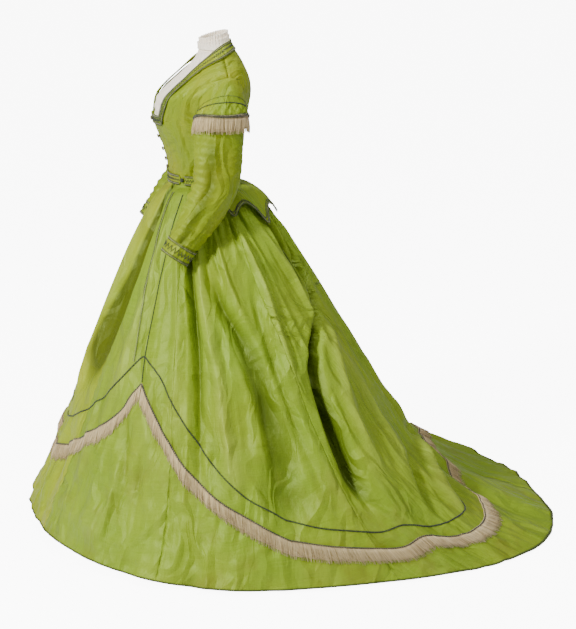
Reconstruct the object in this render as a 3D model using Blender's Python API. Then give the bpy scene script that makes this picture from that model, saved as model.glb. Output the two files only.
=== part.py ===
"""A Victorian day dress of the 1860s in silk taffeta, as worn: bodice, sleeves, belt, basque,
trained skirt, lace fill, braid and fringe, each piece a cloth wall of its own.

Metres, +Z up. The origin is the middle of the waist, where the wearer holds the dress up.
The dress faces -Y, the train runs to +Y, and the wearer's left is +X.
An angle is measured round the body in degrees: 0 at the centre front, 90 at the wearer's
left side, 180 at the centre back, and minus angles are on the wearer's right.
"""

import math

import bmesh
import bpy
from mathutils import Vector

# Driving sizes
WAIST_HEIGHT = 1.02
SILK_WALL = 0.0016
LACE_WALL = 0.0012
BRAID_WALL = 0.0012
SEAM_GAP = 0.0003

# Skirt: how the train is swept to the wearer's left, and how square its corners are
TRAIN_SWEEP = 0.11
TRAIN_REACH = 1.03
TRAIN_SQUARE = 2.5
COLUMN_DEGREES = 3.3
COLUMN_SLACK = 0.01
FLOOR_GAP = 0.0002
SKIRT_NORMAL_DEGREES = 0.4
SKIRT_NORMAL_REACH = 0.01
SKIRT_ROW_SHARES = (
    0, 0.016, 0.05, 0.10, 0.17, 0.26, 0.36, 0.47, 0.58, 0.69, 0.79, 0.88, 0.95, 1.0)

# Folds that run all round: gathers set into the waist, and the soft waves of the hem
GATHER_WAVES = 40
GATHER_DEPTH = 0.0028
GATHER_START = 0.016
FOLD_RISE = 0.14
FOLD_FADE_IN = 0.12
FOLD_FADE_OUT = 0.3
GATHER_END = 0.32
GATHER_FADE = 0.05
PLAIN_FRONT = 30
HEM_WAVES = 19
HEM_WAVE_DEPTH = 0.007
HEM_WAVE_START = 0.55
HEM_WAVE_RISE = 0.4

# One row for each level of the skirt, from the waist to the hem. Reaches are from the origin.
SKIRT_LEVELS = [
    # share, centre, front, side, back, front_z, side_z, back_z
    (0.00, 0.005, 0.089, 0.113, 0.100, -0.001, -0.001, -0.001),
    (0.016, 0.006, 0.090, 0.114, 0.101, -0.017, -0.017, -0.017),
    (0.05, 0.010, 0.114, 0.158, 0.150, -0.042, -0.038, -0.036),
    (0.12, 0.018, 0.147, 0.210, 0.202, -0.105, -0.100, -0.098),
    (0.22, 0.030, 0.193, 0.278, 0.264, -0.205, -0.200, -0.205),
    (0.34, 0.050, 0.247, 0.350, 0.347, -0.330, -0.325, -0.340),
    (0.48, 0.078, 0.309, 0.432, 0.441, -0.478, -0.475, -0.500),
    (0.62, 0.105, 0.369, 0.512, 0.540, -0.628, -0.630, -0.665),
    (0.75, 0.125, 0.424, 0.585, 0.652, -0.762, -0.772, -0.815),
    (0.88, 0.140, 0.478, 0.645, 0.822, -0.885, -0.905, -0.945),
    (1.00, 0.140, 0.528, 0.683, 1.030, -0.982, -1.012, -1.016),
]

# One row for each main fold of a side, mirrored on the other: a trough has a minus depth
SKIRT_FOLDS = [
    # top_angle, hem_angle, depth, half_width, start, end
    (22, 19, -0.008, 6, 0.00, 0.60),
    (38, 30, 0.009, 8, 0.02, 0.80),
    (57, 26, -0.030, 11, 0.02, 0.66),
    (70, 62, 0.012, 10, 0.05, 0.90),
    (84, 88, -0.022, 8, 0.10, 0.80),
    (97, 103, 0.014, 8, 0.08, 0.75),
    (108, 109, -0.016, 7, 0.15, 0.95),
    (116, 117, 0.014, 7, 0.04, 0.70),
    (127, 124, -0.020, 7, 0.00, 0.50),
    (136, 133, 0.015, 8, 0.05, 0.90),
    (146, 140, -0.028, 8, 0.00, 0.80),
    (155, 121, -0.026, 9, 0.10, 1.10),
    (163, 158, 0.018, 8, 0.05, 0.95),
    (173, 169, -0.022, 7, 0.02, 0.85),
]

# Each skirt gore, from angle to angle
SKIRT_GORES = [
    ("skirt_front_gore", -16.5, 16.5),
    ("skirt_side_front_gore_left", 16.5, 57.75),
    ("skirt_side_front_gore_right", -57.75, -16.5),
    ("skirt_side_gore_left", 57.75, 104.5),
    ("skirt_side_gore_right", -104.5, -57.75),
    ("skirt_train_gore_left", 104.5, 180.0),
    ("skirt_train_gore_right", -180.0, -104.5),
]

# How surfaces are sampled and shaded
NORMAL_DEGREES = 0.35
NORMAL_REACH = 0.004
SMOOTH_DEGREES = 35

# Bodice, one row for each level of the torso. Front and back are reaches from the origin.
TORSO_LEVELS = [
    # height, centre, front, side, back, square
    (-0.02, 0.005, 0.093, 0.117, 0.105, 2.00),
    (0.00, 0.005, 0.089, 0.113, 0.100, 2.00),
    (0.016, 0.005, 0.090, 0.114, 0.1015, 2.00),
    (0.05, 0.007, 0.094, 0.121, 0.108, 2.05),
    (0.10, 0.012, 0.108, 0.136, 0.120, 2.10),
    (0.15, 0.017, 0.126, 0.149, 0.131, 2.10),
    (0.19, 0.020, 0.131, 0.158, 0.139, 2.15),
    (0.23, 0.025, 0.122, 0.169, 0.145, 2.20),
    (0.26, 0.030, 0.092, 0.177, 0.146, 2.25),
    (0.29, 0.038, 0.056, 0.170, 0.140, 2.20),
    (0.32, 0.045, 0.026, 0.137, 0.129, 2.10),
    (0.35, 0.050, 0.006, 0.088, 0.112, 2.00),
    (0.38, 0.047, 0.000, 0.060, 0.092, 2.00),
    (0.42, 0.045, 0.000, 0.056, 0.088, 2.00),
]
SIDE_SEAM = 101
PANEL_ROWS = 14
PANEL_COLUMNS = 7

# Each row of a bodice panel runs from its inner end to its outer end
FRONT_PANEL = [
    # share, inner_angle, inner_height, outer_angle, outer_height
    (0.00, 0, 0.001, 101, 0.001),
    (0.12, 0, 0.045, 101, 0.050),
    (0.24, 0, 0.090, 101, 0.100),
    (0.34, 0, 0.128, 101, 0.142),
    (0.42, 0, 0.159, 101, 0.175),
    (0.50, 11, 0.161, 91, 0.186),
    (0.58, 22, 0.163, 82, 0.205),
    (0.66, 28, 0.198, 77, 0.228),
    (0.74, 31, 0.233, 77, 0.248),
    (0.81, 31, 0.268, 81, 0.266),
    (0.88, 38, 0.300, 88, 0.280),
    (0.94, 57, 0.328, 96, 0.288),
    (1.00, 98, 0.348, 101, 0.290),
]
BACK_PANEL = [
    # share, inner_angle, inner_height, outer_angle, outer_height
    (0.00, 180, 0.001, 101, 0.001),
    (0.12, 180, 0.048, 101, 0.050),
    (0.24, 180, 0.098, 101, 0.100),
    (0.34, 180, 0.140, 101, 0.142),
    (0.42, 180, 0.178, 101, 0.175),
    (0.50, 180, 0.215, 113, 0.186),
    (0.58, 180, 0.250, 122, 0.205),
    (0.66, 180, 0.284, 127, 0.228),
    (0.74, 180, 0.315, 127, 0.248),
    (0.81, 180, 0.343, 123, 0.266),
    (0.88, 178, 0.368, 116, 0.280),
    (0.94, 140, 0.363, 108, 0.288),
    (1.00, 98, 0.348, 101, 0.290),
]

# Sleeve, one row for each level of the arm. Turn 0 is the outer side and 90 the front.
ARM_LEVELS = [
    # share, x, y, z, lean_degrees, wide, deep
    (0.16, 0.211, 0.030, 0.152, 0, 0.069, 0.047),
    (0.30, 0.216, 0.024, 0.100, 2, 0.067, 0.046),
    (0.45, 0.218, 0.018, 0.046, 8, 0.065, 0.046),
    (0.56, 0.225, 0.008, -0.002, 20, 0.061, 0.045),
    (0.68, 0.246, -0.024, -0.054, 30, 0.056, 0.043),
    (0.82, 0.267, -0.066, -0.111, 34, 0.048, 0.039),
    (1.00, 0.275, -0.110, -0.175, 34, 0.037, 0.033),
]
SLEEVE_CAP_END = 0.16
SLEEVE_CAP_FULLNESS = 0.012
SLEEVE_SHARES = (0, 0.06, 0.12, 0.20, 0.32, 0.43, 0.52, 0.60, 0.69, 0.79, 0.90, 1.0)
SLEEVE_TURNS = 8
ARMHOLE_MIDDLE = (101, 0.2325)
ARMHOLE_HALF_ANGLE = 26.5
ARMHOLE_HALF_HEIGHT = 0.061
SLEEVE_LAP = 0.0008
SLEEVE_NORMAL_REACH = 0.01
SLEEVE_NORMAL_TURN = 2.0

# Epaulette and cuff, as shares of the sleeve
EPAULETTE_TURN = 104
EPAULETTE_SHORTEST = 0.055
EPAULETTE_LONGEST = 0.125
EPAULETTE_LIFT = 0.0022
EPAULETTE_FLARE = 0.009
EPAULETTE_COLUMNS = 13
EPAULETTE_ROWS = 3
CUFF_START = 0.91
CUFF_END = 1.02
CUFF_LIFT = 0.0016
CUFF_FLARE = 0.0035
CUFF_COLUMNS = 16
CUFF_ROWS = 2

# Belt, basque, neck band and lace
BELT_HALF_HEIGHT = 0.0145
BELT_FRONT_LIFT = 0.0032
BELT_BACK_LIFT = 0.0041
BELT_FRONT_ANGLE = 42
BELT_BACK_ANGLE = 51
BELT_ROUNDING = 5
KNOB_ANGLE = 46.5
KNOB_RADIUS = 0.0062
KNOB_RISE = 0.0099
KNOB_SEAT = 0.0005
BELT_FRONT_COLUMNS = 11
BELT_BACK_COLUMNS = 24
BELT_FRONT_ROWS = 4
BELT_BACK_ROWS = 1
BASQUE_START = 0.022
BASQUE_LIFT = 0.0032
BASQUE_FLARE = 0.010
BASQUE_EDGE = [
    # angle, share
    (96, 0.045), (104, 0.112), (113, 0.092), (121, 0.084), (129, 0.105), (136, 0.148),
    (145, 0.124), (156, 0.106), (168, 0.124), (180, 0.146),
]
BASQUE_COLUMNS = 20
BASQUE_ROWS = 4
BASQUE_FLARE_RATE = 1.4
BASQUE_END = 179.92
BASQUE_LAST_NORMAL = 179.6
NECK_BAND = [
    # share, outer_angle, outer_height, inner_angle, inner_height
    (0.00, 0.05, 0.157, 0.05, 0.184),
    (0.10, 24, 0.157, 20, 0.184),
    (0.14, 27, 0.161, 23, 0.189),
    (0.28, 34, 0.210, 26, 0.228),
    (0.42, 36, 0.262, 26, 0.276),
    (0.55, 45, 0.302, 30, 0.308),
    (0.66, 64, 0.323, 44, 0.334),
    (0.76, 92, 0.339, 78, 0.363),
    (0.86, 125, 0.354, 120, 0.382),
    (1.00, 179.95, 0.363, 179.95, 0.390),
]
NECK_BAND_SAMPLES = 24
NECK_BAND_LIFT = 0.0037
NECK_BAND_ENDS = (0.05, 179.95)
LACE_SINK = 0.0068
COLLAR_SINK = 0.0044
LACE_FILL = [
    # height, half_angle
    (0.150, 30), (0.180, 36), (0.220, 39), (0.260, 41), (0.290, 48), (0.315, 62), (0.334, 82),
    (0.350, 98), (0.362, 108),
]
LACE_FILL_ROWS = 11
LACE_FILL_COLUMNS = 10
COLLAR_LOW = 0.3635
COLLAR_FRONT_TOP = 0.392
COLLAR_BACK_TOP = 0.414
COLLAR_COLUMNS = 48
COLLAR_ROWS = 3
COLLAR_WAVES = 12
COLLAR_WAVE_DEPTH = 0.0022

# The domed shape of a covered button or knob
DOME_SIDES = 8
DOME_PROFILE = [
    # share_of_radius, share_of_height
    (0.62, 0.00), (1.00, 0.32), (0.92, 0.62), (0.55, 0.92),
]

# Buttons down the centre front
BUTTON_HEIGHTS = (0.171, 0.119, 0.082, 0.053, 0.029)
BUTTON_RADIUS = 0.0065
BUTTON_RISE = 0.0075
BUTTON_SEAT = 0.0006
TOP_BUTTON_SEAT = 0.0034

# Braid and fringe on the skirt, as places on its surface, for the wearer's left side
FRONT_BRAID = [
    # angle, share
    (34, 0.040), (31, 0.090), (31, 0.160), (34, 0.230), (36, 0.310), (37, 0.400), (37.5, 0.480),
]
SIDE_BRAID = [
    (51, 0.045), (48, 0.090), (45.5, 0.140), (44, 0.230), (43, 0.320), (42.3, 0.390), (42.0, 0.445),
]
SCALLOP_BRAID = [
    (1.2, 0.699), (6, 0.682), (14, 0.648), (22, 0.600), (32, 0.540), (38.5, 0.482), (41.5, 0.463),
    (45, 0.472), (51, 0.500), (56, 0.542), (61, 0.590), (67, 0.648), (73, 0.705), (80, 0.760),
    (87, 0.796), (94, 0.834), (101, 0.850), (108, 0.860), (115, 0.852), (122, 0.864), (131, 0.866),
    (142, 0.858), (147, 0.832), (152, 0.795), (164, 0.752), (178.4, 0.729),
]
FRONT_FRINGE = [
    (0, 0.782), (5, 0.765), (12, 0.732), (20, 0.695), (28, 0.650), (35, 0.606), (39, 0.562),
    (43.4, 0.522),
]
SIDE_FRINGE = [
    (43.9, 0.524), (48, 0.560), (54, 0.616), (61, 0.682), (67, 0.728), (73, 0.768), (80, 0.804),
    (87, 0.844), (94, 0.876), (102, 0.893), (110, 0.902), (117, 0.884), (123, 0.892), (130, 0.902),
    (138, 0.898), (148, 0.886), (156, 0.862), (164, 0.822), (172, 0.792), (179.7, 0.778),
]
BRAID_WIDTH = 0.009
FRONT_BRAID_SAMPLES = 14
FRINGE_TAPE = 0.010
FRINGE_LENGTH = 0.047
FRONT_BRAID_LIFT = 0.0040
SIDE_BRAID_LIFT = 0.0044
SCALLOP_BRAID_LIFT = 0.0048
FRONT_FRINGE_LIFT = 0.0030
SIDE_FRINGE_LIFT = 0.0051
LOCK_RISE = 0.0046
LOCK_TIP_SHARE = 0.34
FRONT_LOCKS = 32
SIDE_LOCKS = 53
ROUTE_STEPS = 240
DROP_REACH = 0.03
LOCK_UNEVEN = [
    # share_of_length, turns_per_lock, start
    (0.07, 2.3, 0.0), (0.04, 5.1, 1.0),
]
EPAULETTE_LOCKS_REACH = 0.098
EPAULETTE_LOCK_LIFT = 0.0107
EPAULETTE_TAPE = (0.8, 0.98)
EPAULETTE_TAPE_LIFT = 0.0024


def read_table(rows, at):
    """A row of the table at a place between its rows, along smooth curves through them."""
    last = len(rows) - 1
    if at <= rows[0][0]:
        return rows[0][1:]
    if at >= rows[last][0]:
        return rows[last][1:]
    i = next(k for k in range(last) if rows[k][0] <= at <= rows[k + 1][0])
    before, start, end, after = (rows[max(i - 1, 0)], rows[i], rows[i + 1], rows[min(i + 2, last)])
    span = end[0] - start[0]
    t = (at - start[0]) / span
    values = []
    for b, s, e, a in zip(before[1:], start[1:], end[1:], after[1:]):
        slope_start = (e - b) / (end[0] - before[0]) * span
        slope_end = (a - s) / (after[0] - start[0]) * span
        cubic = 2 * (s - e) + slope_start + slope_end
        square = 3 * (e - s) - 2 * slope_start - slope_end
        values.append(((cubic * t + square) * t + slope_start) * t + s)
    return tuple(values)


def rounded_power(value, power):
    """The value to a power, with its sign kept."""
    return math.copysign(abs(value) ** power, value)


def bump(distance):
    """A soft hump: 1 at the middle, 0 at a distance of 1 and beyond."""
    if abs(distance) >= 1:
        return 0.0
    return (1 + math.cos(math.pi * distance)) / 2


def ease(value):
    """0 below 0, 1 above 1, and a soft step between."""
    t = min(max(value, 0.0), 1.0)
    return t * t * (3 - 2 * t)


def skirt_base(angle, share):
    """A point of the skirt without its folds."""
    centre, front, side, back, front_z, side_z, back_z = read_table(SKIRT_LEVELS, share)
    turn = math.radians(angle)
    across = math.sin(turn)
    along = -math.cos(turn)
    if along > 0:
        power = 2 / (2 + (TRAIN_SQUARE - 2) * ease(share))
        x = side * rounded_power(across, power)
        y = centre + (back - centre) * rounded_power(along, power)
        z = side_z + (back_z - side_z) * along * along
    else:
        x = side * across
        y = centre + (front + centre) * along
        z = side_z + (front_z - side_z) * along * along
    x += TRAIN_SWEEP * (max(y, 0.0) / TRAIN_REACH) ** 2
    return Vector((x, y, z))


def fold_depth(angle, share):
    """How far the folds push the skirt out, or in where it is minus."""
    size = abs(angle)
    depth = 0.0
    for top_angle, hem_angle, fold, half_width, start, end in SKIRT_FOLDS:
        middle = top_angle + (hem_angle - top_angle) * share
        fade = ease((share - start) / FOLD_FADE_IN) * ease((end - share) / FOLD_FADE_OUT)
        fade *= ease((share - GATHER_START) / FOLD_RISE)
        depth += fold * bump((size - middle) / half_width) * fade
    gathers = GATHER_DEPTH * ease((GATHER_END - share) / GATHER_END)
    gathers *= ease((share - GATHER_START) / GATHER_FADE) * ease((size - PLAIN_FRONT) / PLAIN_FRONT)
    depth += gathers * math.cos(math.radians(angle * GATHER_WAVES))
    hem = HEM_WAVE_DEPTH * ease((share - HEM_WAVE_START) / HEM_WAVE_RISE)
    depth += hem * math.cos(math.radians(angle * HEM_WAVES))
    return depth


def skirt_point(angle, share):
    """A point on the outside of the skirt."""
    after, before = angle + SKIRT_NORMAL_DEGREES, angle - SKIRT_NORMAL_DEGREES
    low, high = min(share + SKIRT_NORMAL_REACH, 1), max(share - SKIRT_NORMAL_REACH, 0)
    round_body = skirt_base(after, share) - skirt_base(before, share)
    down_body = skirt_base(angle, low) - skirt_base(angle, high)
    out = down_body.cross(round_body).normalized()
    point = skirt_base(angle, share) + out * fold_depth(angle, share)
    point.z = max(point.z, -WAIST_HEIGHT + SILK_WALL + FLOOR_GAP)
    return point


def surface_normal(surface, across, along):
    """The way out of a surface, from points either side of a place on it."""
    after, before = across + NORMAL_DEGREES, across - NORMAL_DEGREES
    round_body = surface(after, along) - surface(before, along)
    on_body = surface(across, along + NORMAL_REACH) - surface(across, along - NORMAL_REACH)
    return on_body.cross(round_body).normalized()


def make_material(name, colour, roughness):
    """A plain Principled material."""
    material = bpy.data.materials.new(name)
    material.use_nodes = True
    shader = material.node_tree.nodes["Principled BSDF"]
    shader.inputs["Base Color"].default_value = (*colour, 1.0)
    shader.inputs["Roughness"].default_value = roughness
    return material


def add_body(name, points, faces, material):
    """One closed body from its points and faces, with its faces pointing out."""
    shape = bmesh.new()
    corners = [shape.verts.new(point) for point in points]
    for face in faces:
        shape.faces.new([corners[i] for i in face])
    bmesh.ops.recalc_face_normals(shape, faces=shape.faces)
    mesh = bpy.data.meshes.new(name)
    shape.to_mesh(mesh)
    shape.free()
    mesh.materials.append(material)
    mesh.shade_smooth()
    mesh.set_sharp_from_angle(angle=math.radians(SMOOTH_DEGREES))
    body = bpy.data.objects.new(name, mesh)
    bpy.context.scene.collection.objects.link(body)
    return body


def split_quad(a, b, c, d):
    """Two triangles with the same diagonal everywhere, so laid-on pieces follow the facets."""
    return [(a, b, c), (a, c, d)]


def add_wall(name, outer, inner, material, ring=False):
    """A cloth wall between rows of outside points and rows of inside points."""
    rows = len(outer)
    columns = len(outer[0])
    points = [point for row in outer for point in row] + [point for row in inner for point in row]
    inside = rows * columns

    def place(row, column):
        return row * columns + column % columns

    faces = []
    last = columns if ring else columns - 1
    for row in range(rows - 1):
        for column in range(last):
            a, b = place(row, column), place(row + 1, column)
            c, d = place(row + 1, column + 1), place(row, column + 1)
            faces += split_quad(a, b, c, d)
            faces += [tuple(reversed([i + inside for i in f])) for f in split_quad(a, b, c, d)]
    for column in range(last):
        for row in (0, rows - 1):
            a, b = place(row, column), place(row, column + 1)
            faces += split_quad(a, b, b + inside, a + inside)
    if not ring:
        for row in range(rows - 1):
            for column in (0, columns - 1):
                a, b = place(row, column), place(row + 1, column)
                faces += split_quad(a, b, b + inside, a + inside)
    return add_body(name, points, faces, material)


def draw_in(rows, sides=True):
    """Rows of points with each outer edge drawn in by half the seam gap."""
    rows = [[point.copy() for point in row] for row in rows]
    edges = [(rows[0], rows[1]), (rows[-1], rows[-2])]
    if sides:
        for edge, beside in ((0, 1), (-1, -2)):
            for row in rows:
                inward = (row[beside] - row[edge]).normalized()
                row[edge] += inward * (SEAM_GAP / 2)
    for edge_row, next_row in edges:
        for point, beside in zip(edge_row, next_row):
            point += (beside - point).normalized() * (SEAM_GAP / 2)
    return rows


def moved_out(points, normals, distance):
    """Rows of points moved out along their normals."""
    return [[p + n * distance for p, n in zip(row, ways)] for row, ways in zip(points, normals)]


def add_panel(name, points, normals, wall, material, ring=False):
    """A wall under rows of outside points, parted from its neighbours at the seams."""
    inner = moved_out(points, normals, -wall)
    return add_wall(name, draw_in(points, not ring), draw_in(inner, not ring), material, ring)


def spread(start, end, count):
    """Evenly spaced values from start to end."""
    return [start + (end - start) * i / count for i in range(count + 1)]


def torso_point(angle, height):
    """A point on the outside of the bodice's form."""
    centre, front, side, back, square = read_table(TORSO_LEVELS, height)
    power = 2 / square
    across = rounded_power(math.sin(math.radians(angle)), power)
    along = rounded_power(-math.cos(math.radians(angle)), power)
    reach = back - centre if along > 0 else front + centre
    return Vector((side * across, centre + reach * along, height))


def torso_out(angle, height):
    """The way out of the bodice's form."""
    return -surface_normal(torso_point, angle, height)


def mirrored(rows):
    """The same rows on the wearer's other side."""
    return [[Vector((-p.x, p.y, p.z)) for p in row] for row in rows]


def bodice_rows(table, keep_side):
    """Rows of points and normals of a left bodice panel."""
    points = []
    normals = []
    for share in spread(0, 1, PANEL_ROWS):
        inner_angle, inner_height, outer_angle, outer_height = read_table(table, share)
        inner_angle = min(max(inner_angle, 0.0), 180.0)
        outer_angle = keep_side(outer_angle, SIDE_SEAM)
        angles = spread(inner_angle, outer_angle, PANEL_COLUMNS)
        heights = spread(inner_height, outer_height, PANEL_COLUMNS)
        points.append([torso_point(a, h) for a, h in zip(angles, heights)])
        normals.append([torso_out(a, h) for a, h in zip(angles, heights)])
    return points, normals


def add_pair(name, points, normals, wall, material, ring=False):
    """A left piece and its mirrored right piece."""
    add_panel(name + "_left", points, normals, wall, material, ring)
    add_panel(name + "_right", mirrored(points), mirrored(normals), wall, material, ring)


def add_bodice(silk):
    """Two fronts and two backs, which meet at the sides, the shoulders and both centres."""
    panels = (("bodice_front", FRONT_PANEL, min), ("bodice_back", BACK_PANEL, max))
    for name, table, keep_side in panels:
        points, normals = bodice_rows(table, keep_side)
        add_pair(name, points, normals, SILK_WALL, silk)


def skirt_grid():
    """Every column and row of the skirt's outside, with the gores' seams on columns."""
    angles = []
    for _, start, end in sorted(SKIRT_GORES, key=lambda gore: gore[1]):
        count = math.ceil((end - start) / COLUMN_DEGREES - COLUMN_SLACK)
        angles += spread(start, end, count)[1 if angles else 0:]
    shares = SKIRT_ROW_SHARES
    points = [[skirt_point(a, s) for a in angles] for s in shares]
    normals = []
    for i, row in enumerate(points):
        above, below = points[max(i - 1, 0)], points[min(i + 1, len(shares) - 1)]
        last = len(row) - 1
        ways = []
        for j in range(len(row)):
            before = row[j - 1] if j else row[last - 1]
            after = row[j + 1] if j < last else row[1]
            ways.append((below[j] - above[j]).cross(after - before).normalized())
        normals.append(ways)
    return angles, shares, points, normals


def add_skirt(grid, silk, panel_silk):
    """Seven gores, cut from the one folded surface."""
    angles, shares, points, normals = grid
    for name, start, end in SKIRT_GORES:
        first = min(range(len(angles)), key=lambda j: abs(angles[j] - start))
        last = min(range(len(angles)), key=lambda j: abs(angles[j] - end))
        gore = [row[first:last + 1] for row in points]
        ways = [row[first:last + 1] for row in normals]
        material = panel_silk if name == "skirt_front_gore" else silk
        add_panel(name, gore, ways, SILK_WALL, material)


def armhole_point(turn, lift):
    """A point on the armhole's edge, moved out from the bodice."""
    side = math.sin(math.radians(turn))
    up = math.cos(math.radians(turn))
    angle = ARMHOLE_MIDDLE[0] - ARMHOLE_HALF_ANGLE * side
    height = ARMHOLE_MIDDLE[1] + ARMHOLE_HALF_HEIGHT * up
    return torso_point(angle, height) + torso_out(angle, height) * lift


def arm_point(turn, share):
    """A point on the outside of the sleeve below its cap."""
    x, y, z, lean, wide, deep = read_table(ARM_LEVELS, share)
    lean = math.radians(lean)
    forward = Vector((0, -math.cos(lean), math.sin(lean)))
    side = math.sin(math.radians(turn))
    out = math.cos(math.radians(turn))
    return Vector((x, y, z)) + forward * wide * side + Vector((deep * out, 0, 0))


def sleeve_point(turn, share):
    """A point on the outside of the left sleeve, from the armhole to the wrist."""
    if share >= SLEEVE_CAP_END:
        return arm_point(turn, min(share, 1.0)) + past_wrist(share)
    blend = share / SLEEVE_CAP_END
    start = armhole_point(turn, SLEEVE_LAP + SILK_WALL)
    end = arm_point(turn, SLEEVE_CAP_END)
    fullness = SLEEVE_CAP_FULLNESS * math.sin(math.pi * blend)
    fullness *= max(math.cos(math.radians(turn)), 0.0)
    return start.lerp(end, blend) + Vector((fullness, 0, fullness))


def past_wrist(share):
    """How far a place past the sleeve's end lies beyond it, on the forearm's line."""
    beyond = max(share - 1.0, 0.0)
    elbow = Vector(ARM_LEVELS[-2][1:4])
    wrist = Vector(ARM_LEVELS[-1][1:4])
    return (wrist - elbow) * (beyond / (ARM_LEVELS[-1][0] - ARM_LEVELS[-2][0]))


def sleeve_out(turn, share):
    """The way out of the sleeve."""
    low, high = max(share - SLEEVE_NORMAL_REACH, 0.0), share + SLEEVE_NORMAL_REACH
    down = sleeve_point(turn, high) - sleeve_point(turn, low)
    after, before = turn + SLEEVE_NORMAL_TURN, turn - SLEEVE_NORMAL_TURN
    around = sleeve_point(after, share) - sleeve_point(before, share)
    return around.cross(down).normalized()


def sleeve_rows(turns, shares, lift=lambda turn, share: 0.0):
    """Rows of points and normals on the sleeve, moved out by the lift."""
    normals = [[sleeve_out(t, s) for t in turns] for s in shares]
    points = [
        [sleeve_point(t, s) + n * lift(t, s) for t, n in zip(turns, row)]
        for s, row in zip(shares, normals)
    ]
    return points, normals


def add_sleeves(silk):
    """Two-piece sleeves: an outer and an under piece, seamed at the front and the back."""
    for name, start, end in (("sleeve_outer", -90, 90), ("sleeve_under", 90, 270)):
        points, normals = sleeve_rows(spread(start, end, SLEEVE_TURNS), SLEEVE_SHARES)
        add_pair(name, points, normals, SILK_WALL, silk)


def add_cuffs(silk):
    """A braided band round each sleeve's end, a little wider at the hand."""
    turns = spread(0, 360, CUFF_COLUMNS)[:-1]
    shares = spread(CUFF_START, CUFF_END, CUFF_ROWS)

    def lift(turn, share):
        return CUFF_LIFT + CUFF_FLARE * (share - CUFF_START) / (CUFF_END - CUFF_START)

    points, normals = sleeve_rows(turns, shares, lift)
    add_pair("cuff_band", points, normals, BRAID_WALL, silk, ring=True)


def epaulette_drop(turn):
    """How far down the sleeve the epaulette reaches, as a share."""
    middle = (EPAULETTE_LONGEST + EPAULETTE_SHORTEST) / 2
    swing = (EPAULETTE_LONGEST - EPAULETTE_SHORTEST) / 2
    return middle + swing * math.cos(math.radians(turn))


def epaulette_rows(fractions):
    """Rows of points and normals of the left epaulette."""
    turns = spread(-EPAULETTE_TURN, EPAULETTE_TURN, EPAULETTE_COLUMNS)
    points = []
    normals = []
    for fraction in fractions:
        lift = EPAULETTE_LIFT + EPAULETTE_FLARE * fraction * fraction
        ways = [sleeve_out(t, fraction * epaulette_drop(t)) for t in turns]
        row = [
            sleeve_point(t, fraction * epaulette_drop(t)) + n * lift
            for t, n in zip(turns, ways)
        ]
        points.append(row)
        normals.append(ways)
    return points, normals


def add_epaulettes(silk):
    """The braided cap laid over the top of each sleeve."""
    points, normals = epaulette_rows(spread(0, 1, EPAULETTE_ROWS))
    add_pair("epaulette", points, normals, BRAID_WALL, silk)


def belt_rows(start, end, columns, steps, rounding, lift):
    """Rows of points and normals of a length of belt, with its ends rounded off."""
    points = []
    normals = []
    for level in spread(1, -1, steps):
        tuck = rounding * (1 - math.sqrt(max(1 - level * level, 0.0)))
        angles = spread(start + tuck, end - tuck, columns)
        row = [torso_point(a, 0.0) for a in angles]
        ways = [torso_out(a, 0.0) for a in angles]
        row = [p + n * lift for p, n in zip(row, ways)]
        for p in row:
            p.z = level * BELT_HALF_HEIGHT
        points.append(row)
        normals.append(ways)
    return points, normals


def add_belt(braid):
    """The front length with its rounded ends, the back length, and a knob at each join."""
    ends = (-BELT_FRONT_ANGLE, BELT_FRONT_ANGLE)
    front = belt_rows(*ends, BELT_FRONT_COLUMNS, BELT_FRONT_ROWS, BELT_ROUNDING, BELT_FRONT_LIFT)
    ends = (BELT_BACK_ANGLE, 360 - BELT_BACK_ANGLE)
    back = belt_rows(*ends, BELT_BACK_COLUMNS, BELT_BACK_ROWS, 0, BELT_BACK_LIFT)
    add_panel("belt_front", *front, SILK_WALL, braid)
    add_panel("belt_back", *back, SILK_WALL, braid)
    for name, side in (("belt_knob_left", 1), ("belt_knob_right", -1)):
        out = torso_out(side * KNOB_ANGLE, 0.0)
        seat = torso_point(side * KNOB_ANGLE, 0.0) + out * KNOB_SEAT
        add_dome(name, seat, out, KNOB_RADIUS, KNOB_RISE, braid)


def add_dome(name, seat, out, radius, height, material):
    """A domed button or knob on its seat, wider at the middle than at its foot."""
    sides = DOME_SIDES
    profile = DOME_PROFILE
    turn = Vector((0, 0, 1)).rotation_difference(out)
    points = []
    for share, rise in profile:
        for i in range(sides):
            around = 2 * math.pi * i / sides
            point = Vector((share * radius * math.cos(around), share * radius * math.sin(around), 0))
            point.z = rise * height
            points.append(seat + turn @ point)
    tip = len(points)
    points += [seat + out * height, seat.copy()]
    faces = []
    top = (len(profile) - 1) * sides
    for i in range(sides):
        after = (i + 1) % sides
        for ring in range(len(profile) - 1):
            a, b = ring * sides + i, ring * sides + after
            faces += split_quad(a, b, b + sides, a + sides)
        faces += [(top + i, top + after, tip), (after, i, tip + 1)]
    add_body(name, points, faces, material)


def add_basque(silk):
    """The pointed basque behind the waist, over the top of the skirt, open at the back."""
    angles = spread(BASQUE_EDGE[0][0], BASQUE_END, BASQUE_COLUMNS)
    points = []
    normals = []
    for fraction in spread(0, 1, BASQUE_ROWS):
        row = []
        ways = []
        for angle in angles:
            edge = read_table(BASQUE_EDGE, angle)[0]
            share = BASQUE_START + (edge - BASQUE_START) * fraction
            out = surface_normal(skirt_base, min(angle, BASQUE_LAST_NORMAL), share)
            lift = BASQUE_LIFT + BASQUE_FLARE * ease(fraction * BASQUE_FLARE_RATE)
            row.append(skirt_base(angle, share) + out * lift)
            ways.append(out)
        points.append(row)
        normals.append(ways)
    add_pair("basque", points, normals, SILK_WALL, silk)


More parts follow.
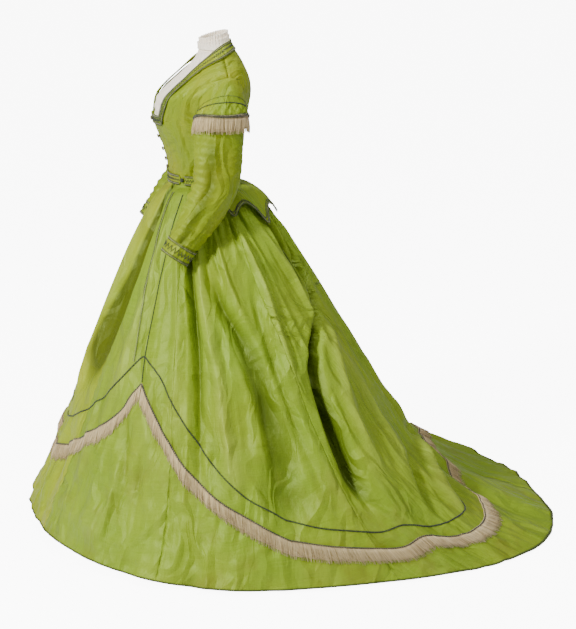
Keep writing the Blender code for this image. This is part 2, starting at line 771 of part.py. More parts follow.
def add_neck_band(braid):
    """The braided band round the neckline, squared at the front, in a left and a right half."""
    points = []
    normals = []
    for fraction in (0, 1):
        row = []
        ways = []
        for share in spread(0, 1, NECK_BAND_SAMPLES):
            outer_angle, outer_height, inner_angle, inner_height = read_table(NECK_BAND, share)
            angle = outer_angle + (inner_angle - outer_angle) * fraction
            angle = min(max(angle, NECK_BAND_ENDS[0]), NECK_BAND_ENDS[1])
            height = outer_height + (inner_height - outer_height) * fraction
            out = torso_out(angle, height)
            row.append(torso_point(angle, height) + out * NECK_BAND_LIFT)
            ways.append(out)
        points.append(row)
        normals.append(ways)
    add_pair("neck_band", points, normals, BRAID_WALL, braid)


def add_lace(lace):
    """The lace fill inside the neckline, and the frilled collar that stands on it."""
    points = []
    normals = []
    for height in spread(LACE_FILL[0][0], LACE_FILL[-1][0], LACE_FILL_ROWS):
        half = read_table(LACE_FILL, height)[0]
        angles = spread(-half, half, LACE_FILL_COLUMNS)
        ways = [torso_out(a, height) for a in angles]
        points.append([torso_point(a, height) - n * LACE_SINK for a, n in zip(angles, ways)])
        normals.append(ways)
    add_panel("lace_chest_fill", points, normals, LACE_WALL, lace)
    points = []
    normals = []
    angles = spread(0, 360, COLLAR_COLUMNS)[:-1]
    for fraction in spread(0, 1, COLLAR_ROWS):
        row = []
        ways = []
        for angle in angles:
            back = (1 - math.cos(math.radians(angle))) / 2
            top = COLLAR_FRONT_TOP + (COLLAR_BACK_TOP - COLLAR_FRONT_TOP) * back
            height = COLLAR_LOW + (top - COLLAR_LOW) * fraction
            wave = COLLAR_WAVE_DEPTH * math.cos(math.radians(angle * COLLAR_WAVES))
            out = torso_out(angle, height)
            row.append(torso_point(angle, height) + out * (wave * fraction ** 2 - COLLAR_SINK))
            ways.append(out)
        points.append(row)
        normals.append(ways)
    add_panel("lace_collar", points, normals, LACE_WALL, lace, ring=True)


def add_buttons(button_silk):
    """Five covered buttons, the top one on the neck band."""
    for number, height in enumerate(BUTTON_HEIGHTS, 1):
        out = torso_out(0, height)
        lift = TOP_BUTTON_SEAT if number == 1 else BUTTON_SEAT
        seat = torso_point(0, height) + out * lift
        add_dome(f"button_{number}", seat, out, BUTTON_RADIUS, BUTTON_RISE, button_silk)


def on_facet(grid, angle, share):
    """A point on the skirt's facets, and the way out there."""
    angles, shares, points, normals = grid
    j = next(k for k in range(len(angles) - 1) if angle <= angles[k + 1])
    i = next(k for k in range(len(shares) - 1) if share <= shares[k + 1])
    u = (angle - angles[j]) / (angles[j + 1] - angles[j])
    v = (share - shares[i]) / (shares[i + 1] - shares[i])
    found = []
    for rows in (points, normals):
        a, b, c, d = rows[i][j], rows[i + 1][j], rows[i + 1][j + 1], rows[i][j + 1]
        if v >= u:
            found.append(a + (b - a) * v + (c - b) * u)
        else:
            found.append(a + (d - a) * u + (c - d) * v)
    return found[0], found[1].normalized()


def route_places(grid, table, side, count):
    """Evenly spaced places along a route over the skirt, on one side of it."""
    keyed = [(i, *row) for i, row in enumerate(table)]
    fine = [read_table(keyed, at) for at in spread(0, len(table) - 1, ROUTE_STEPS)]
    lengths = [0.0]
    for before, after in zip(fine, fine[1:]):
        step = on_facet(grid, side * before[0], before[1])[0]
        step = (on_facet(grid, side * after[0], after[1])[0] - step).length
        lengths.append(lengths[-1] + step)
    places = []
    for wanted in spread(0, lengths[-1], count):
        k = min(range(len(lengths)), key=lambda n: abs(lengths[n] - wanted))
        places.append((side * fine[k][0], fine[k][1]))
    return places


def share_for_drop(grid, place, drop):
    """The share that lies a distance down the skirt from a place."""
    angle, share = place
    here = on_facet(grid, angle, share)[0]
    below = on_facet(grid, angle, share + DROP_REACH)[0]
    return share + DROP_REACH * drop / (below - here).length


def add_strip(name, upper, lower, normals, wall, material):
    """A narrow flat strip between an upper and a lower edge."""
    outer = [upper, lower]
    inner = [[p - n * wall for p, n in zip(edge, normals)] for edge in outer]
    add_wall(name, outer, inner, material)


def column_places(grid, table, side):
    """Places along a route that runs round the skirt, one on each column of its facets."""
    ends = (table[0][0], table[-1][0])
    angles = [a for a in grid[0] if ends[0] < a < ends[1]]
    return [(side * a, read_table(table, a)[0]) for a in (ends[0], *angles, ends[1])]


def add_braid(grid, name, places, lift, braid):
    """A line of braid stitched down on the skirt."""
    count = len(places) - 1
    found = [on_facet(grid, *place) for place in places]
    centres = [point + out * lift for point, out in found]
    upper = []
    lower = []
    for k, centre in enumerate(centres):
        along = centres[min(k + 1, count)] - centres[max(k - 1, 0)]
        across = found[k][1].cross(along).normalized() * (BRAID_WIDTH / 2)
        upper.append(centre + across)
        lower.append(centre - across)
    add_strip(name, upper, lower, [out for _, out in found], BRAID_WALL, braid)


def add_fringe(name, upper, lower, normals, tips, wall, material):
    """A tape with one tapered lock of thread hanging from each of its stretches."""
    count = len(upper)
    points = []
    for top, low, out in zip(upper, lower, normals):
        points += [top, low, low - out * wall, top - out * wall]
    faces = [(0, 1, 2), (0, 2, 3)]
    end = 4 * (count - 1)
    faces += [(end, end + 2, end + 1), (end, end + 3, end + 2)]
    for k in range(count - 1):
        a = 4 * k
        b = a + 4
        faces += split_quad(a, a + 1, b + 1, b)
        faces += split_quad(a + 3, b + 3, b + 2, a + 2)
        faces += split_quad(a, b, b + 3, a + 3)
        middle = lower[k].lerp(lower[k + 1], 0.5)
        half = (lower[k + 1] - lower[k]) * (LOCK_TIP_SHARE / 2)
        drop = tips[k] - middle
        first = len(points)
        points += [middle + drop - half, middle + drop + half]
        faces += split_quad(a + 1, first, first + 1, b + 1)
        faces += split_quad(a + 2, b + 2, first + 1, first)
        faces += [(a + 1, a + 2, first), (b + 2, b + 1, first + 1)]
    add_body(name, points, faces, material)


def lock_length(k):
    """How long a lock is: they are cut a little uneven."""
    uneven = sum(share * math.sin(rate * k + start) for share, rate, start in LOCK_UNEVEN)
    return FRINGE_LENGTH * (1 + uneven)


def add_skirt_fringe(grid, name, places, lift, thread):
    """A fringe laid over the skirt from its tape at these places."""
    found = [on_facet(grid, *place) for place in places]
    upper = [point + out * lift for point, out in found]
    lower = []
    tips = []
    for place, (point, out) in zip(places, found):
        below, way = on_facet(grid, place[0], share_for_drop(grid, place, FRINGE_TAPE))
        lower.append(below + way * lift)
    for k in range(len(places) - 1):
        angle = (places[k][0] + places[k + 1][0]) / 2
        share = (places[k][1] + places[k + 1][1]) / 2
        drop = FRINGE_TAPE + lock_length(k)
        tip, way = on_facet(grid, angle, share_for_drop(grid, (angle, share), drop))
        tips.append(tip + way * (lift + LOCK_RISE))
    add_fringe(name, upper, lower, [out for _, out in found], tips, BRAID_WALL, thread)


def add_skirt_trimming(grid, braid, thread):
    """The braid lines and the scalloped fringe of the skirt."""
    for name, side in (("left", 1), ("right", -1)):
        places = route_places(grid, FRONT_BRAID, side, FRONT_BRAID_SAMPLES)
        add_braid(grid, "skirt_front_braid_" + name, places, FRONT_BRAID_LIFT, braid)
        places = route_places(grid, SIDE_BRAID, side, FRONT_BRAID_SAMPLES)
        add_braid(grid, "skirt_side_braid_" + name, places, SIDE_BRAID_LIFT, braid)
        places = column_places(grid, SCALLOP_BRAID, side)
        add_braid(grid, "skirt_scallop_braid_" + name, places, SCALLOP_BRAID_LIFT, braid)
        places = route_places(grid, SIDE_FRINGE, side, SIDE_LOCKS)
        add_skirt_fringe(grid, "skirt_fringe_" + name, places, SIDE_FRINGE_LIFT, thread)
    right = route_places(grid, FRONT_FRINGE, -1, FRONT_LOCKS // 2)
    left = route_places(grid, FRONT_FRINGE, 1, FRONT_LOCKS // 2)
    places = right[:0:-1] + left
    add_skirt_fringe(grid, "skirt_fringe_front", places, FRONT_FRINGE_LIFT, thread)


def add_epaulette_fringes(thread):
    """The fringe on its tape at the lower edge of each epaulette."""
    points, normals = epaulette_rows(EPAULETTE_TAPE)
    upper, lower = moved_out(points, normals, EPAULETTE_TAPE_LIFT)
    turns = spread(-EPAULETTE_TURN, EPAULETTE_TURN, EPAULETTE_COLUMNS)
    tips = []
    for k in range(EPAULETTE_COLUMNS):
        turn = (turns[k] + turns[k + 1]) / 2
        reach = EPAULETTE_LOCKS_REACH * lock_length(k) / FRINGE_LENGTH
        share = epaulette_drop(turn) + reach
        tips.append(sleeve_point(turn, share) + sleeve_out(turn, share) * EPAULETTE_LOCK_LIFT)
    ways = normals[1]
    add_fringe("epaulette_fringe_left", upper, lower, ways, tips, BRAID_WALL, thread)
    across = [mirrored([row])[0] for row in (upper, lower, ways, tips)]
    add_fringe("epaulette_fringe_right", *across, BRAID_WALL, thread)


def main():
    """Clear the scene and make the dress."""
    for old in list(bpy.data.objects):
        bpy.data.objects.remove(old)
    silk = make_material("green_silk", (0.36, 0.46, 0.045), 0.42)
    panel_silk = make_material("front_silk", (0.50, 0.55, 0.12), 0.42)
    braid = make_material("dark_braid", (0.045, 0.06, 0.025), 0.65)
    button_silk = make_material("button_silk", (0.14, 0.13, 0.04), 0.5)
    thread = make_material("fringe_thread", (0.50, 0.38, 0.26), 0.7)
    lace = make_material("lace_thread", (0.85, 0.80, 0.72), 0.8)
    grid = skirt_grid()
    add_skirt(grid, silk, panel_silk)
    add_bodice(silk)
    add_sleeves(silk)
    add_cuffs(braid)
    add_epaulettes(silk)
    add_belt(braid)
    add_basque(silk)
    add_neck_band(braid)
    add_lace(lace)
    add_buttons(button_silk)
    add_skirt_trimming(grid, braid, thread)
    add_epaulette_fringes(thread)


main()
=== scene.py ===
import math

import bmesh
import bpy
import numpy as np
from mathutils import Matrix, Vector


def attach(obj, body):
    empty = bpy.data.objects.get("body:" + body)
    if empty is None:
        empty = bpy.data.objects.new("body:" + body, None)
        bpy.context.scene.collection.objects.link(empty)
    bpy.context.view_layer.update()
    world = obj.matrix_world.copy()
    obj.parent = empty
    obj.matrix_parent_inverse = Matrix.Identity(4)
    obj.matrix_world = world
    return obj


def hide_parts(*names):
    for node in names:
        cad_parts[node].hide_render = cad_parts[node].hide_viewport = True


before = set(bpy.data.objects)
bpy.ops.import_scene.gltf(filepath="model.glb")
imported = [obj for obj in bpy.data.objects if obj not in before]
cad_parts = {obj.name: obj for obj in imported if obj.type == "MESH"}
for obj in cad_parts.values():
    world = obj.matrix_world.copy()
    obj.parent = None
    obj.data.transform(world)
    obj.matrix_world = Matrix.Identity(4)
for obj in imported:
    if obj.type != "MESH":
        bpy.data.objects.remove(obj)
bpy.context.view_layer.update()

# The view: the dress is seen from its left side, a little in front of the shoulder
# and from above the waist, so that the train trails away to the right.
view = bpy.data.cameras.new("view_from_the_left")
view.sensor_fit = "HORIZONTAL"
view.sensor_width = 36.0
view.lens = 95.6
view_stand = bpy.data.objects.new("view_from_the_left", view)
view_stand.location = (4.366, -0.629, 0.757)
view_stand.rotation_euler = (math.radians(90 - 14.975), 0, math.radians(78.468))
bpy.context.scene.collection.objects.link(view_stand)
bpy.context.scene.camera = view_stand


# The skirt: seven gores of crisp silk taffeta, gathered into the waist and spread out at
# the hem, where the two back gores run on into the train. The gores are sewn edge to edge.
# An angle is measured round the body: 0 at the centre front, 90 at the wearer's left side.
FLOOR = -1.02
CLOTH_WALL = 0.0010
TRAIN_SWEEP = 0.11
TRAIN_REACH = 1.03
TRAIN_SQUARE = 2.5
SKIRT_LEVELS = [
    # share, centre, front, side, back, front_z, side_z, back_z
    (0.00, 0.005, 0.089, 0.113, 0.100, -0.001, -0.001, -0.001),
    (0.016, 0.006, 0.090, 0.114, 0.101, -0.017, -0.017, -0.017),
    (0.05, 0.010, 0.114, 0.158, 0.150, -0.042, -0.038, -0.036),
    (0.12, 0.018, 0.147, 0.210, 0.202, -0.105, -0.100, -0.098),
    (0.22, 0.030, 0.193, 0.278, 0.264, -0.205, -0.200, -0.205),
    (0.34, 0.050, 0.247, 0.350, 0.347, -0.330, -0.325, -0.340),
    (0.48, 0.078, 0.309, 0.432, 0.441, -0.478, -0.475, -0.500),
    (0.62, 0.105, 0.369, 0.512, 0.540, -0.628, -0.630, -0.665),
    (0.75, 0.125, 0.424, 0.585, 0.652, -0.762, -0.772, -0.815),
    (0.88, 0.140, 0.478, 0.645, 0.822, -0.885, -0.905, -0.945),
    (1.00, 0.140, 0.528, 0.683, 1.030, -0.982, -1.012, -1.016),
]
SKIRT_GORES = [
    # name, start and end angle, width and length of the cut, share of that rectangle
    ("skirt_front_gore", -16.5, 16.5, 0.36, 1.08, 0.62),
    ("skirt_side_front_gore_left", 16.5, 57.75, 0.50, 1.12, 0.62),
    ("skirt_side_front_gore_right", -57.75, -16.5, 0.50, 1.12, 0.62),
    ("skirt_side_gore_left", 57.75, 104.5, 0.62, 1.25, 0.62),
    ("skirt_side_gore_right", -104.5, -57.75, 0.62, 1.25, 0.62),
    ("skirt_train_gore_left", 104.5, 180.0, 1.20, 1.60, 0.52),
    ("skirt_train_gore_right", -180.0, -104.5, 1.20, 1.60, 0.52),
]
# Folds on the wearer's left: the route is a row of share and angle down the skirt,
# a trough has a minus depth, and a crisp fold has a sharp crease along its middle.
LEFT_FOLDS = [
    # route, depth, half width at the waist and at the hem in degrees, crispness
    ([(0.06, 43), (0.20, 38), (0.40, 34), (0.64, 30)], 0.011, 6, 7, 0.5),
    ([(0.02, 8), (0.30, 2), (0.70, 1)], 0.010, 9, 8, 0.0),
    ([(0.10, 58), (0.22, 63), (0.38, 66.8), (0.58, 67), (0.78, 66)], -0.018, 3.5, 4.5, 0.6),
    ([(0.10, 52), (0.31, 57), (0.50, 58), (0.72, 57)], 0.008, 4, 5, 0.5),
    ([(0.12, 71), (0.31, 72), (0.42, 74), (0.61, 76), (0.84, 79)], 0.013, 5, 6, 0.3),
    ([(0.29, 80), (0.35, 76), (0.42, 80)], -0.005, 2.5, 2.5, 1.0),
    ([(0.22, 79), (0.31, 81), (0.40, 88), (0.52, 91), (0.72, 91), (0.90, 90)], -0.018, 6, 7, 0.2),
    ([(0.10, 84), (0.23, 87), (0.32, 90.5), (0.44, 95)], 0.012, 3.5, 4, 0.6),
    ([(0.08, 104), (0.17, 106), (0.27, 108), (0.40, 106), (0.56, 104)], 0.016, 4, 5, 0.5),
    ([(0.05, 100), (0.13, 101), (0.24, 101)], -0.011, 3, 3, 0.7),
    ([(0.05, 111), (0.10, 114), (0.18, 119), (0.26, 122)], -0.014, 3.5, 4, 0.7),
    ([(0.05, 122), (0.14, 128), (0.24, 133), (0.36, 136)], 0.012, 4, 5, 0.5),
    ([(0.26, 101), (0.38, 99.5), (0.54, 98.5), (0.80, 99)], -0.010, 3, 4, 0.5),
    ([(0.06, 143), (0.14, 147), (0.21, 149), (0.31, 149), (0.44, 146)], -0.022, 4, 5, 0.4),
    ([(0.08, 154), (0.17, 158), (0.24, 157), (0.31, 149), (0.37, 138), (0.42, 127), (0.48, 118),
      (0.60, 113), (0.71, 111), (0.77, 111), (0.81, 115), (0.85, 125)], -0.036, 5.5, 5, 0.4),
    ([(0.36, 152), (0.44, 138), (0.52, 129), (0.64, 123), (0.74, 121), (0.82, 124)],
     0.014, 6, 5, 0.5),
    ([(0.06, 133), (0.14, 136), (0.22, 136), (0.34, 134), (0.52, 131)], 0.008, 3.5, 4, 0.6),
    ([(0.05, 168), (0.30, 167), (0.62, 166), (0.90, 165)], -0.020, 5, 6, 0.4),
    ([(0.10, 174), (0.40, 175), (0.80, 174)], 0.010, 4, 5, 0.3),
    ([(0.60, 171), (0.68, 167), (0.75, 154), (0.83, 143), (0.92, 137)], 0.020, 6, 6, 0.5),
    ([(0.66, 150), (0.74, 140), (0.84, 131), (0.94, 128)], -0.016, 4, 5, 0.6),
    ([(0.84, 119), (0.90, 120), (1.02, 119)], 0.012, 2.5, 3, 0.9),
    ([(0.86, 125), (0.92, 125.5), (1.02, 124)], -0.006, 2, 3, 0.9),
    ([(0.85, 133), (0.93, 136), (1.02, 139)], 0.012, 2.5, 3, 0.9),
    ([(0.55, 37), (0.68, 40), (0.84, 44)], -0.010, 3, 4, 0.8),
    ([(0.62, 50), (0.74, 47), (0.90, 49)], -0.009, 3, 3.5, 0.8),
    ([(0.66, 5), (0.80, 9), (0.95, 7)], -0.010, 4, 4, 0.8),
    ([(0.60, 22), (0.76, 24), (0.92, 21)], 0.008, 3.5, 4, 0.8),
    ([(0.70, 82), (0.80, 85), (0.93, 83)], 0.010, 3.5, 4, 0.7),
    ([(0.64, 105), (0.74, 103), (0.88, 106)], 0.010, 3, 3.5, 0.7),
]
# The two deepest folds, beside the front panel and under the basque, which are also darkened with
# painted shade
HOLLOWS = [
    # half width at the waist and at the hem; share, angle, how strong
    (5, 17, [(0.01, 22, 0.7), (0.10, 20, 1), (0.20, 16.5, 1), (0.28, 15.5, 1), (0.36, 13, 1),
             (0.48, 9, 0.7), (0.62, 6, 0), (1, 6, 0)]),
    (4, 8, [(0.01, 142, 0), (0.07, 143, 0.9), (0.14, 143, 1), (0.23, 141.5, 0.9), (0.34, 140, 0),
            (1, 140, 0)]),
]
# How far each fold of the left is moved round, and by how much it is deeper, on the right
RIGHT_FOLD_MOVES = (2, -3, 1, 4, -2, 3, -4, 2, -1)
RIGHT_FOLD_SIZES = (0.9, 1.1, 0.8, 1.15, 0.95)
FOLD_DEEPER = 1.55
RIDGE_HIGHER = 1.2
CRISP_POWER = 1.3
HOLLOW_DEPTH = 0.016
PAINTED_HOLLOW_SHADE = 0.075
HOLLOW_FLATNESS = 1.6
# How far the smaller forms push the silk in or out, in metres
STREAK_DEPTH = 0.0100
GATHER_DEPTH = 0.0042
LONG_FACET_DEPTH = 0.0105
DENT_DEPTH = 0.0130
SMALL_FACET_DEPTH = 0.0050
HEM_WAVE_DEPTH = 0.0035
SEAM_GROOVE = 0.0010
SEAM_PUCKER = 0.0012
# How many of them there are in a full turn, or over the length of the skirt
GATHERS = 40
HEM_WAVES = 19
SEAM_PUCKERS = 210
SEAM_REACH = 1.1
SILK_OFF_FLOOR = 0.0008
SKIRT_COLUMNS = 640
SKIRT_ROWS = 132
SIDES = (("left", 1), ("right", -1))
loose_hand = np.random.default_rng(1865)


def along_table(rows, at):
    """Each column of a table at many places, along smooth curves through its rows."""
    keys = np.array([row[0] for row in rows], float)
    values = np.array([row[1:] for row in rows], float)
    last = len(keys) - 1
    at = np.clip(np.asarray(at, float), keys[0], keys[-1])
    i = np.clip(np.searchsorted(keys, at, side="right") - 1, 0, last - 1)
    before, after = np.maximum(i - 1, 0), np.minimum(i + 2, last)
    span = (keys[i + 1] - keys[i])[..., None]
    t = (at - keys[i])[..., None] / span
    slope_start = (values[i + 1] - values[before]) / (keys[i + 1] - keys[before])[..., None] * span
    slope_end = (values[after] - values[i]) / (keys[after] - keys[i])[..., None] * span
    rise = values[i + 1] - values[i]
    cubic = slope_start + slope_end - 2 * rise
    square = 3 * rise - 2 * slope_start - slope_end
    return np.moveaxis(((cubic * t + square) * t + slope_start) * t + values[i], -1, 0)


def ease(value):
    """0 below 0, 1 above 1, and a soft step between."""
    t = np.clip(value, 0.0, 1.0)
    return t * t * (3 - 2 * t)


def signed_power(value, power):
    return np.sign(value) * np.abs(value) ** power


def rises(value, start, over):
    """0 up to the start, and a soft step to 1 over some way past it."""
    return ease((value - start) / over)


def falls(value, end, over):
    """A soft step from 1 to 0, over some way up to the end."""
    return ease((end - value) / over)


def hump(value, middle, reach):
    """A soft hump: 1 at its middle, about a third at its reach."""
    return np.exp(-((value - middle) / reach) ** 2)


def between(first, second, part):
    return first * (1 - part) + second * part


def measured(points, axis=0):
    """How far each place lies from the first, along rows or columns of places."""
    steps = np.diff(points, axis=axis, prepend=np.take(points, [0], axis))
    return np.cumsum(np.linalg.norm(steps, axis=-1), axis=axis)


def way_out(form, across, along, reach_across=0.35, reach_along=0.004):
    """The way out of a form, from its places either side."""
    round_form = form(across + reach_across, along) - form(across - reach_across, along)
    down_form = form(across, along + reach_along) - form(across, along - reach_along)
    out = np.cross(down_form, round_form)
    return out / np.maximum(np.linalg.norm(out, axis=-1, keepdims=True), 1e-12)


def in_cells(turns, along, lattice, rows, shift):
    """Places counted in the cells of a lattice, and the cell that each lies in."""
    wide, tall = lattice.shape[:2]
    across, along = turns * wide + shift[0], along * (rows or tall) + shift[1]
    return across, along, np.floor(across).astype(int), np.floor(along).astype(int)


def soft_noise(turns, along, lattice, rows=None, shift=(0, 0)):
    """Smooth noise from -1 to 1, which closes on itself after a full turn."""
    wide, tall = lattice.shape
    across, along, i, j = in_cells(turns, along, lattice, rows, shift)
    u = ease(across - i)
    i0, i1, j0, j1 = i % wide, (i + 1) % wide, j % tall, (j + 1) % tall
    low = between(lattice[i0, j0], lattice[i1, j0], u)
    high = between(lattice[i0, j1], lattice[i1, j1], u)
    return between(low, high, ease(along - j))


def crumple(turns, along, seeds, rows=None, shift=(0, 0)):
    """Flat facets between sharp ridges, as in crisp silk: 0 at each seed, about 1 on a ridge."""
    wide, tall, _ = seeds.shape
    across, along, i, j = in_cells(turns, along, seeds, rows, shift)
    best = np.full(np.broadcast(across, along).shape, np.inf)
    for di in (-1, 0, 1):
        for dj in (-1, 0, 1):
            seed = seeds[(i + di) % wide, (j + dj) % tall]
            away = np.abs(i + di + seed[..., 0] - across) + np.abs(j + dj + seed[..., 1] - along)
            best = np.minimum(best, away)
    return best


def skirt_form(angle, share):
    """The skirt without its folds."""
    angle, share = np.broadcast_arrays(np.asarray(angle, float), np.asarray(share, float))
    centre, front, side, back, front_z, side_z, back_z = along_table(SKIRT_LEVELS, share)
    turn = np.radians(angle)
    across, along = np.sin(turn), -np.cos(turn)
    behind = along > 0
    power = np.where(behind, 2 / (2 + (TRAIN_SQUARE - 2) * ease(share)), 1.0)
    x = side * signed_power(across, power)
    y = centre + np.where(behind, back - centre, front + centre) * signed_power(along, power)
    z = side_z + (np.where(behind, back_z, front_z) - side_z) * along * along
    x = x + TRAIN_SWEEP * (np.maximum(y, 0.0) / TRAIN_REACH) ** 2
    return np.stack([x, y, z], -1)


streaks = loose_hand.uniform(-1, 1, (60, 5))
patches = loose_hand.uniform(-1, 1, (14, 6))
long_facets = loose_hand.uniform(0, 1, (46, 7, 2))
small_facets = loose_hand.uniform(0, 1, (110, 22, 2))
wide_facets = loose_hand.uniform(0, 1, (34, 9, 2))
gather_swing = loose_hand.uniform(-1, 1, (36, 3))


def nearness(angle, middle, waist_half, hem_half, share):
    """1 in the middle of a fold, and 0 from its edges on."""
    half = waist_half + (hem_half - waist_half) * share
    return np.clip(1 - np.abs(angle - middle) / half, 0.0, 1.0)


def deep_hollow(angle, share):
    """How far a place lies in one of the two deepest folds, from 0 to 1, which sets their depth and
    their painted shade.
    """
    deep = np.zeros(np.broadcast(angle, share).shape)
    for waist_half, hem_half, route in HOLLOWS:
        middle, strong = along_table(route, share)
        near = nearness(np.abs(angle), middle, waist_half, hem_half, share)
        deep += ease(near * HOLLOW_FLATNESS) * strong
    return deep


def skirt_folds(angle, share):
    """How far the folds push the silk out, or in where it is minus."""
    depth = -HOLLOW_DEPTH * deep_hollow(angle, share)
    for _, side in SIDES:
        for k, (route, size, waist_half, hem_half, crisp) in enumerate(LEFT_FOLDS):
            middle = along_table(route, share)[0]
            if side < 0:
                middle = middle + RIGHT_FOLD_MOVES[k % len(RIGHT_FOLD_MOVES)]
                size = size * RIGHT_FOLD_SIZES[k % len(RIGHT_FOLD_SIZES)]
            near = nearness(angle * side, middle, waist_half, hem_half, share)
            shape = ease(near) * (1 - crisp) + near ** CRISP_POWER * crisp
            size = size * (FOLD_DEEPER if size < 0 else RIDGE_HIGHER)
            start, end = route[0][0], route[-1][0]
            depth += size * shape * rises(share, start, 0.10) * falls(share, end, 0.16)
    turns, aside = (angle % 360) / 360, np.abs(angle)
    low_down = rises(share, 0.10, 0.5)
    depth += STREAK_DEPTH * low_down * (0.4 - np.abs(soft_noise(turns, share, streaks)))
    gathers = falls(share, 0.34, 0.34) * rises(share, 0.016, 0.05)
    gathers = gathers * rises(aside, np.where(angle < 0, 80, 42), 30)
    swing = 1.2 * soft_noise(turns, share, gather_swing)
    depth += GATHER_DEPTH * gathers * np.cos(np.radians(angle * GATHERS) + swing)
    strength = ease(0.55 + 0.9 * soft_noise(turns, share, patches))
    strength = strength * (0.45 + 0.55 * rises(aside, 12, 25))
    facets = crumple(turns, share, long_facets) - 0.5
    depth += LONG_FACET_DEPTH * facets * low_down * strength
    dented = ease(0.35 - 1.3 * soft_noise(turns, share, patches, shift=(5.5, 2.5)))
    dented = dented * rises(share, 0.45, 0.3)
    slanted = crumple(turns, share, wide_facets, shift=(40 * share / 9, 0)) - 0.5
    depth += DENT_DEPTH * dented * slanted
    near_hem = rises(share, 0.42, 0.4) * (1 - strength * 0.5)
    depth += SMALL_FACET_DEPTH * (crumple(turns, share, small_facets) - 0.5) * near_hem
    depth += HEM_WAVE_DEPTH * rises(share, 0.6, 0.4) * np.cos(np.radians(angle * HEM_WAVES))
    for _, seam, *_ in SKIRT_GORES:
        beside = np.abs((angle - seam + 180) % 360 - 180)
        waves = SEAM_PUCKER * np.sin(share * SEAM_PUCKERS + seam) - SEAM_GROOVE
        depth += hump(beside, 0, SEAM_REACH) * waves * rises(share, 0, 0.2)
    under_basque = rises(aside, 90, 8) * (1 - rises(share, 0.10, 0.10))
    depth = np.where(depth > 0, depth * (1 - under_basque), depth)
    return depth * rises(share, 0.010, 0.02)


def skirt_way(angle, share):
    return way_out(skirt_form, angle, share)


def skirt_silk(angle, share, lift=0.0):
    """A place on the outside of the folded skirt, or lifted off it."""
    pushed = skirt_folds(angle, share) + lift
    point = skirt_form(angle, share) + skirt_way(angle, share) * pushed[..., None]
    lowest = FLOOR + CLOTH_WALL + SILK_OFF_FLOOR + lift
    point[..., 2] = np.maximum(point[..., 2], lowest)
    return point


def wall_mesh(name, points, outs, wall, ring=False, folds=None):
    """A thin sheet: its outside through rows of points, its wall, its measure as UVs, and a layer
    for its painted shading.
    """
    folds = np.zeros(points.shape[:2]) if folds is None else folds
    down, across = np.diff(points, axis=0)[:, :-1], np.diff(points, axis=1)[:-1]
    if (np.cross(down, across) * outs[:-1, :-1]).sum() < 0:
        points, outs, folds = points[:, ::-1], outs[:, ::-1], folds[:, ::-1]
    rows, columns = points.shape[:2]
    count = rows * columns
    corners = np.concatenate([points.reshape(-1, 3), (points - outs * wall).reshape(-1, 3)])
    index = np.arange(count).reshape(rows, columns)
    wide = np.concatenate([points, points[:, :1]], 1) if ring else points
    if ring:
        index = np.concatenate([index, index[:, :1]], 1)
    u, v = measured(wide, 1), -measured(wide, 0)
    u -= u[:, u.shape[1] // 2][:, None]
    places = np.arange(index.size).reshape(index.shape)

    def faces_of(grid, other):
        """The faces of the outside, of the inside and of the rims between them."""
        parts = [
            np.stack([grid[:-1, :-1], grid[1:, :-1], grid[1:, 1:], grid[:-1, 1:]], -1),
            np.stack([other[:-1, 1:], other[1:, 1:], other[1:, :-1], other[:-1, :-1]], -1),
        ]
        rims = [(grid[0], other[0], 1), (grid[-1], other[-1], -1)]
        if not ring:
            rims += [(grid[:, 0], other[:, 0], -1), (grid[:, -1], other[:, -1], 1)]
        for near, far, way in rims:
            here, there = (slice(0, -1), slice(1, None))[::way]
            parts.append(np.stack([near[here], near[there], far[there], far[here]], -1))
        return np.concatenate([part.reshape(-1, 4) for part in parts])

    faces = faces_of(index, index + count)
    spots = faces_of(places, places)
    uvs = np.stack([u.ravel()[spots], v.ravel()[spots]], -1)
    mesh = mesh_from(name, corners, faces, uvs)
    # The depth of the folds, or a given shading, kept as a layer from which the silk paints shade
    # in the folds and a highlight on the ridges
    shading_layer = mesh.attributes.new("folds", "FLOAT", "POINT")
    shading_layer.data.foreach_set("value", np.tile(folds.ravel(), 2).astype(np.float32))
    return mesh


def mesh_from(name, corners, faces, uvs):
    """A smooth mesh of four-sided faces, with a UV map called cloth."""
    mesh = bpy.data.meshes.new(name)
    mesh.vertices.add(len(corners))
    mesh.vertices.foreach_set("co", np.asarray(corners, np.float32).ravel())
    mesh.loops.add(faces.size)
    mesh.loops.foreach_set("vertex_index", faces.astype(np.int32).ravel())
    mesh.polygons.add(len(faces))
    mesh.polygons.foreach_set("loop_start", np.arange(0, faces.size, 4, dtype=np.int32))
    mesh.polygons.foreach_set("use_smooth", np.ones(len(faces), bool))
    mesh.uv_layers.new(name="cloth").data.foreach_set("uv", uvs.astype(np.float32).ravel())
    mesh.update(calc_edges=True)
    mesh.validate()
    return mesh


def sew_on(name, mesh, cloth, slot, *nodes):
    """A finished piece of the dress, in place of its plain solids."""
    mesh.materials.append(cloth)
    piece = bpy.data.objects.new(name, mesh)
    bpy.context.scene.collection.objects.link(piece)
    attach(piece, "root")
    if nodes:
        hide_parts(*nodes)
    return piece


def sew_sheet(name, sheet, wall, cloth, slot, *nodes, ring=False, folds=None):
    """A sheet of cloth through places and the ways out there, sewn on."""
    return sew_on(name, wall_mesh(name, *sheet, wall, ring, folds), cloth, slot, *nodes)


def set_inputs(node, inputs):
    """Give the inputs of a node their values, or another node's output."""
    for key, value in inputs.items():
        if isinstance(value, bpy.types.NodeSocket):
            node.id_data.links.new(value, node.inputs[key])
        else:
            node.inputs[key].default_value = value


def add_node(tree, kind, inputs, **settings):
    """A shader node with its settings and inputs."""
    made = tree.nodes.new(kind)
    for key, value in settings.items():
        setattr(made, key, value)
    set_inputs(made, inputs)
    return made


def new_material(name):
    """A material, its node tree, its shader, and where each place lies on the cloth."""
    material = bpy.data.materials.new(name)
    material.use_nodes = True
    tree = material.node_tree
    places = add_node(tree, "ShaderNodeTexCoord", {})
    return material, tree, tree.nodes["Principled BSDF"], places.outputs


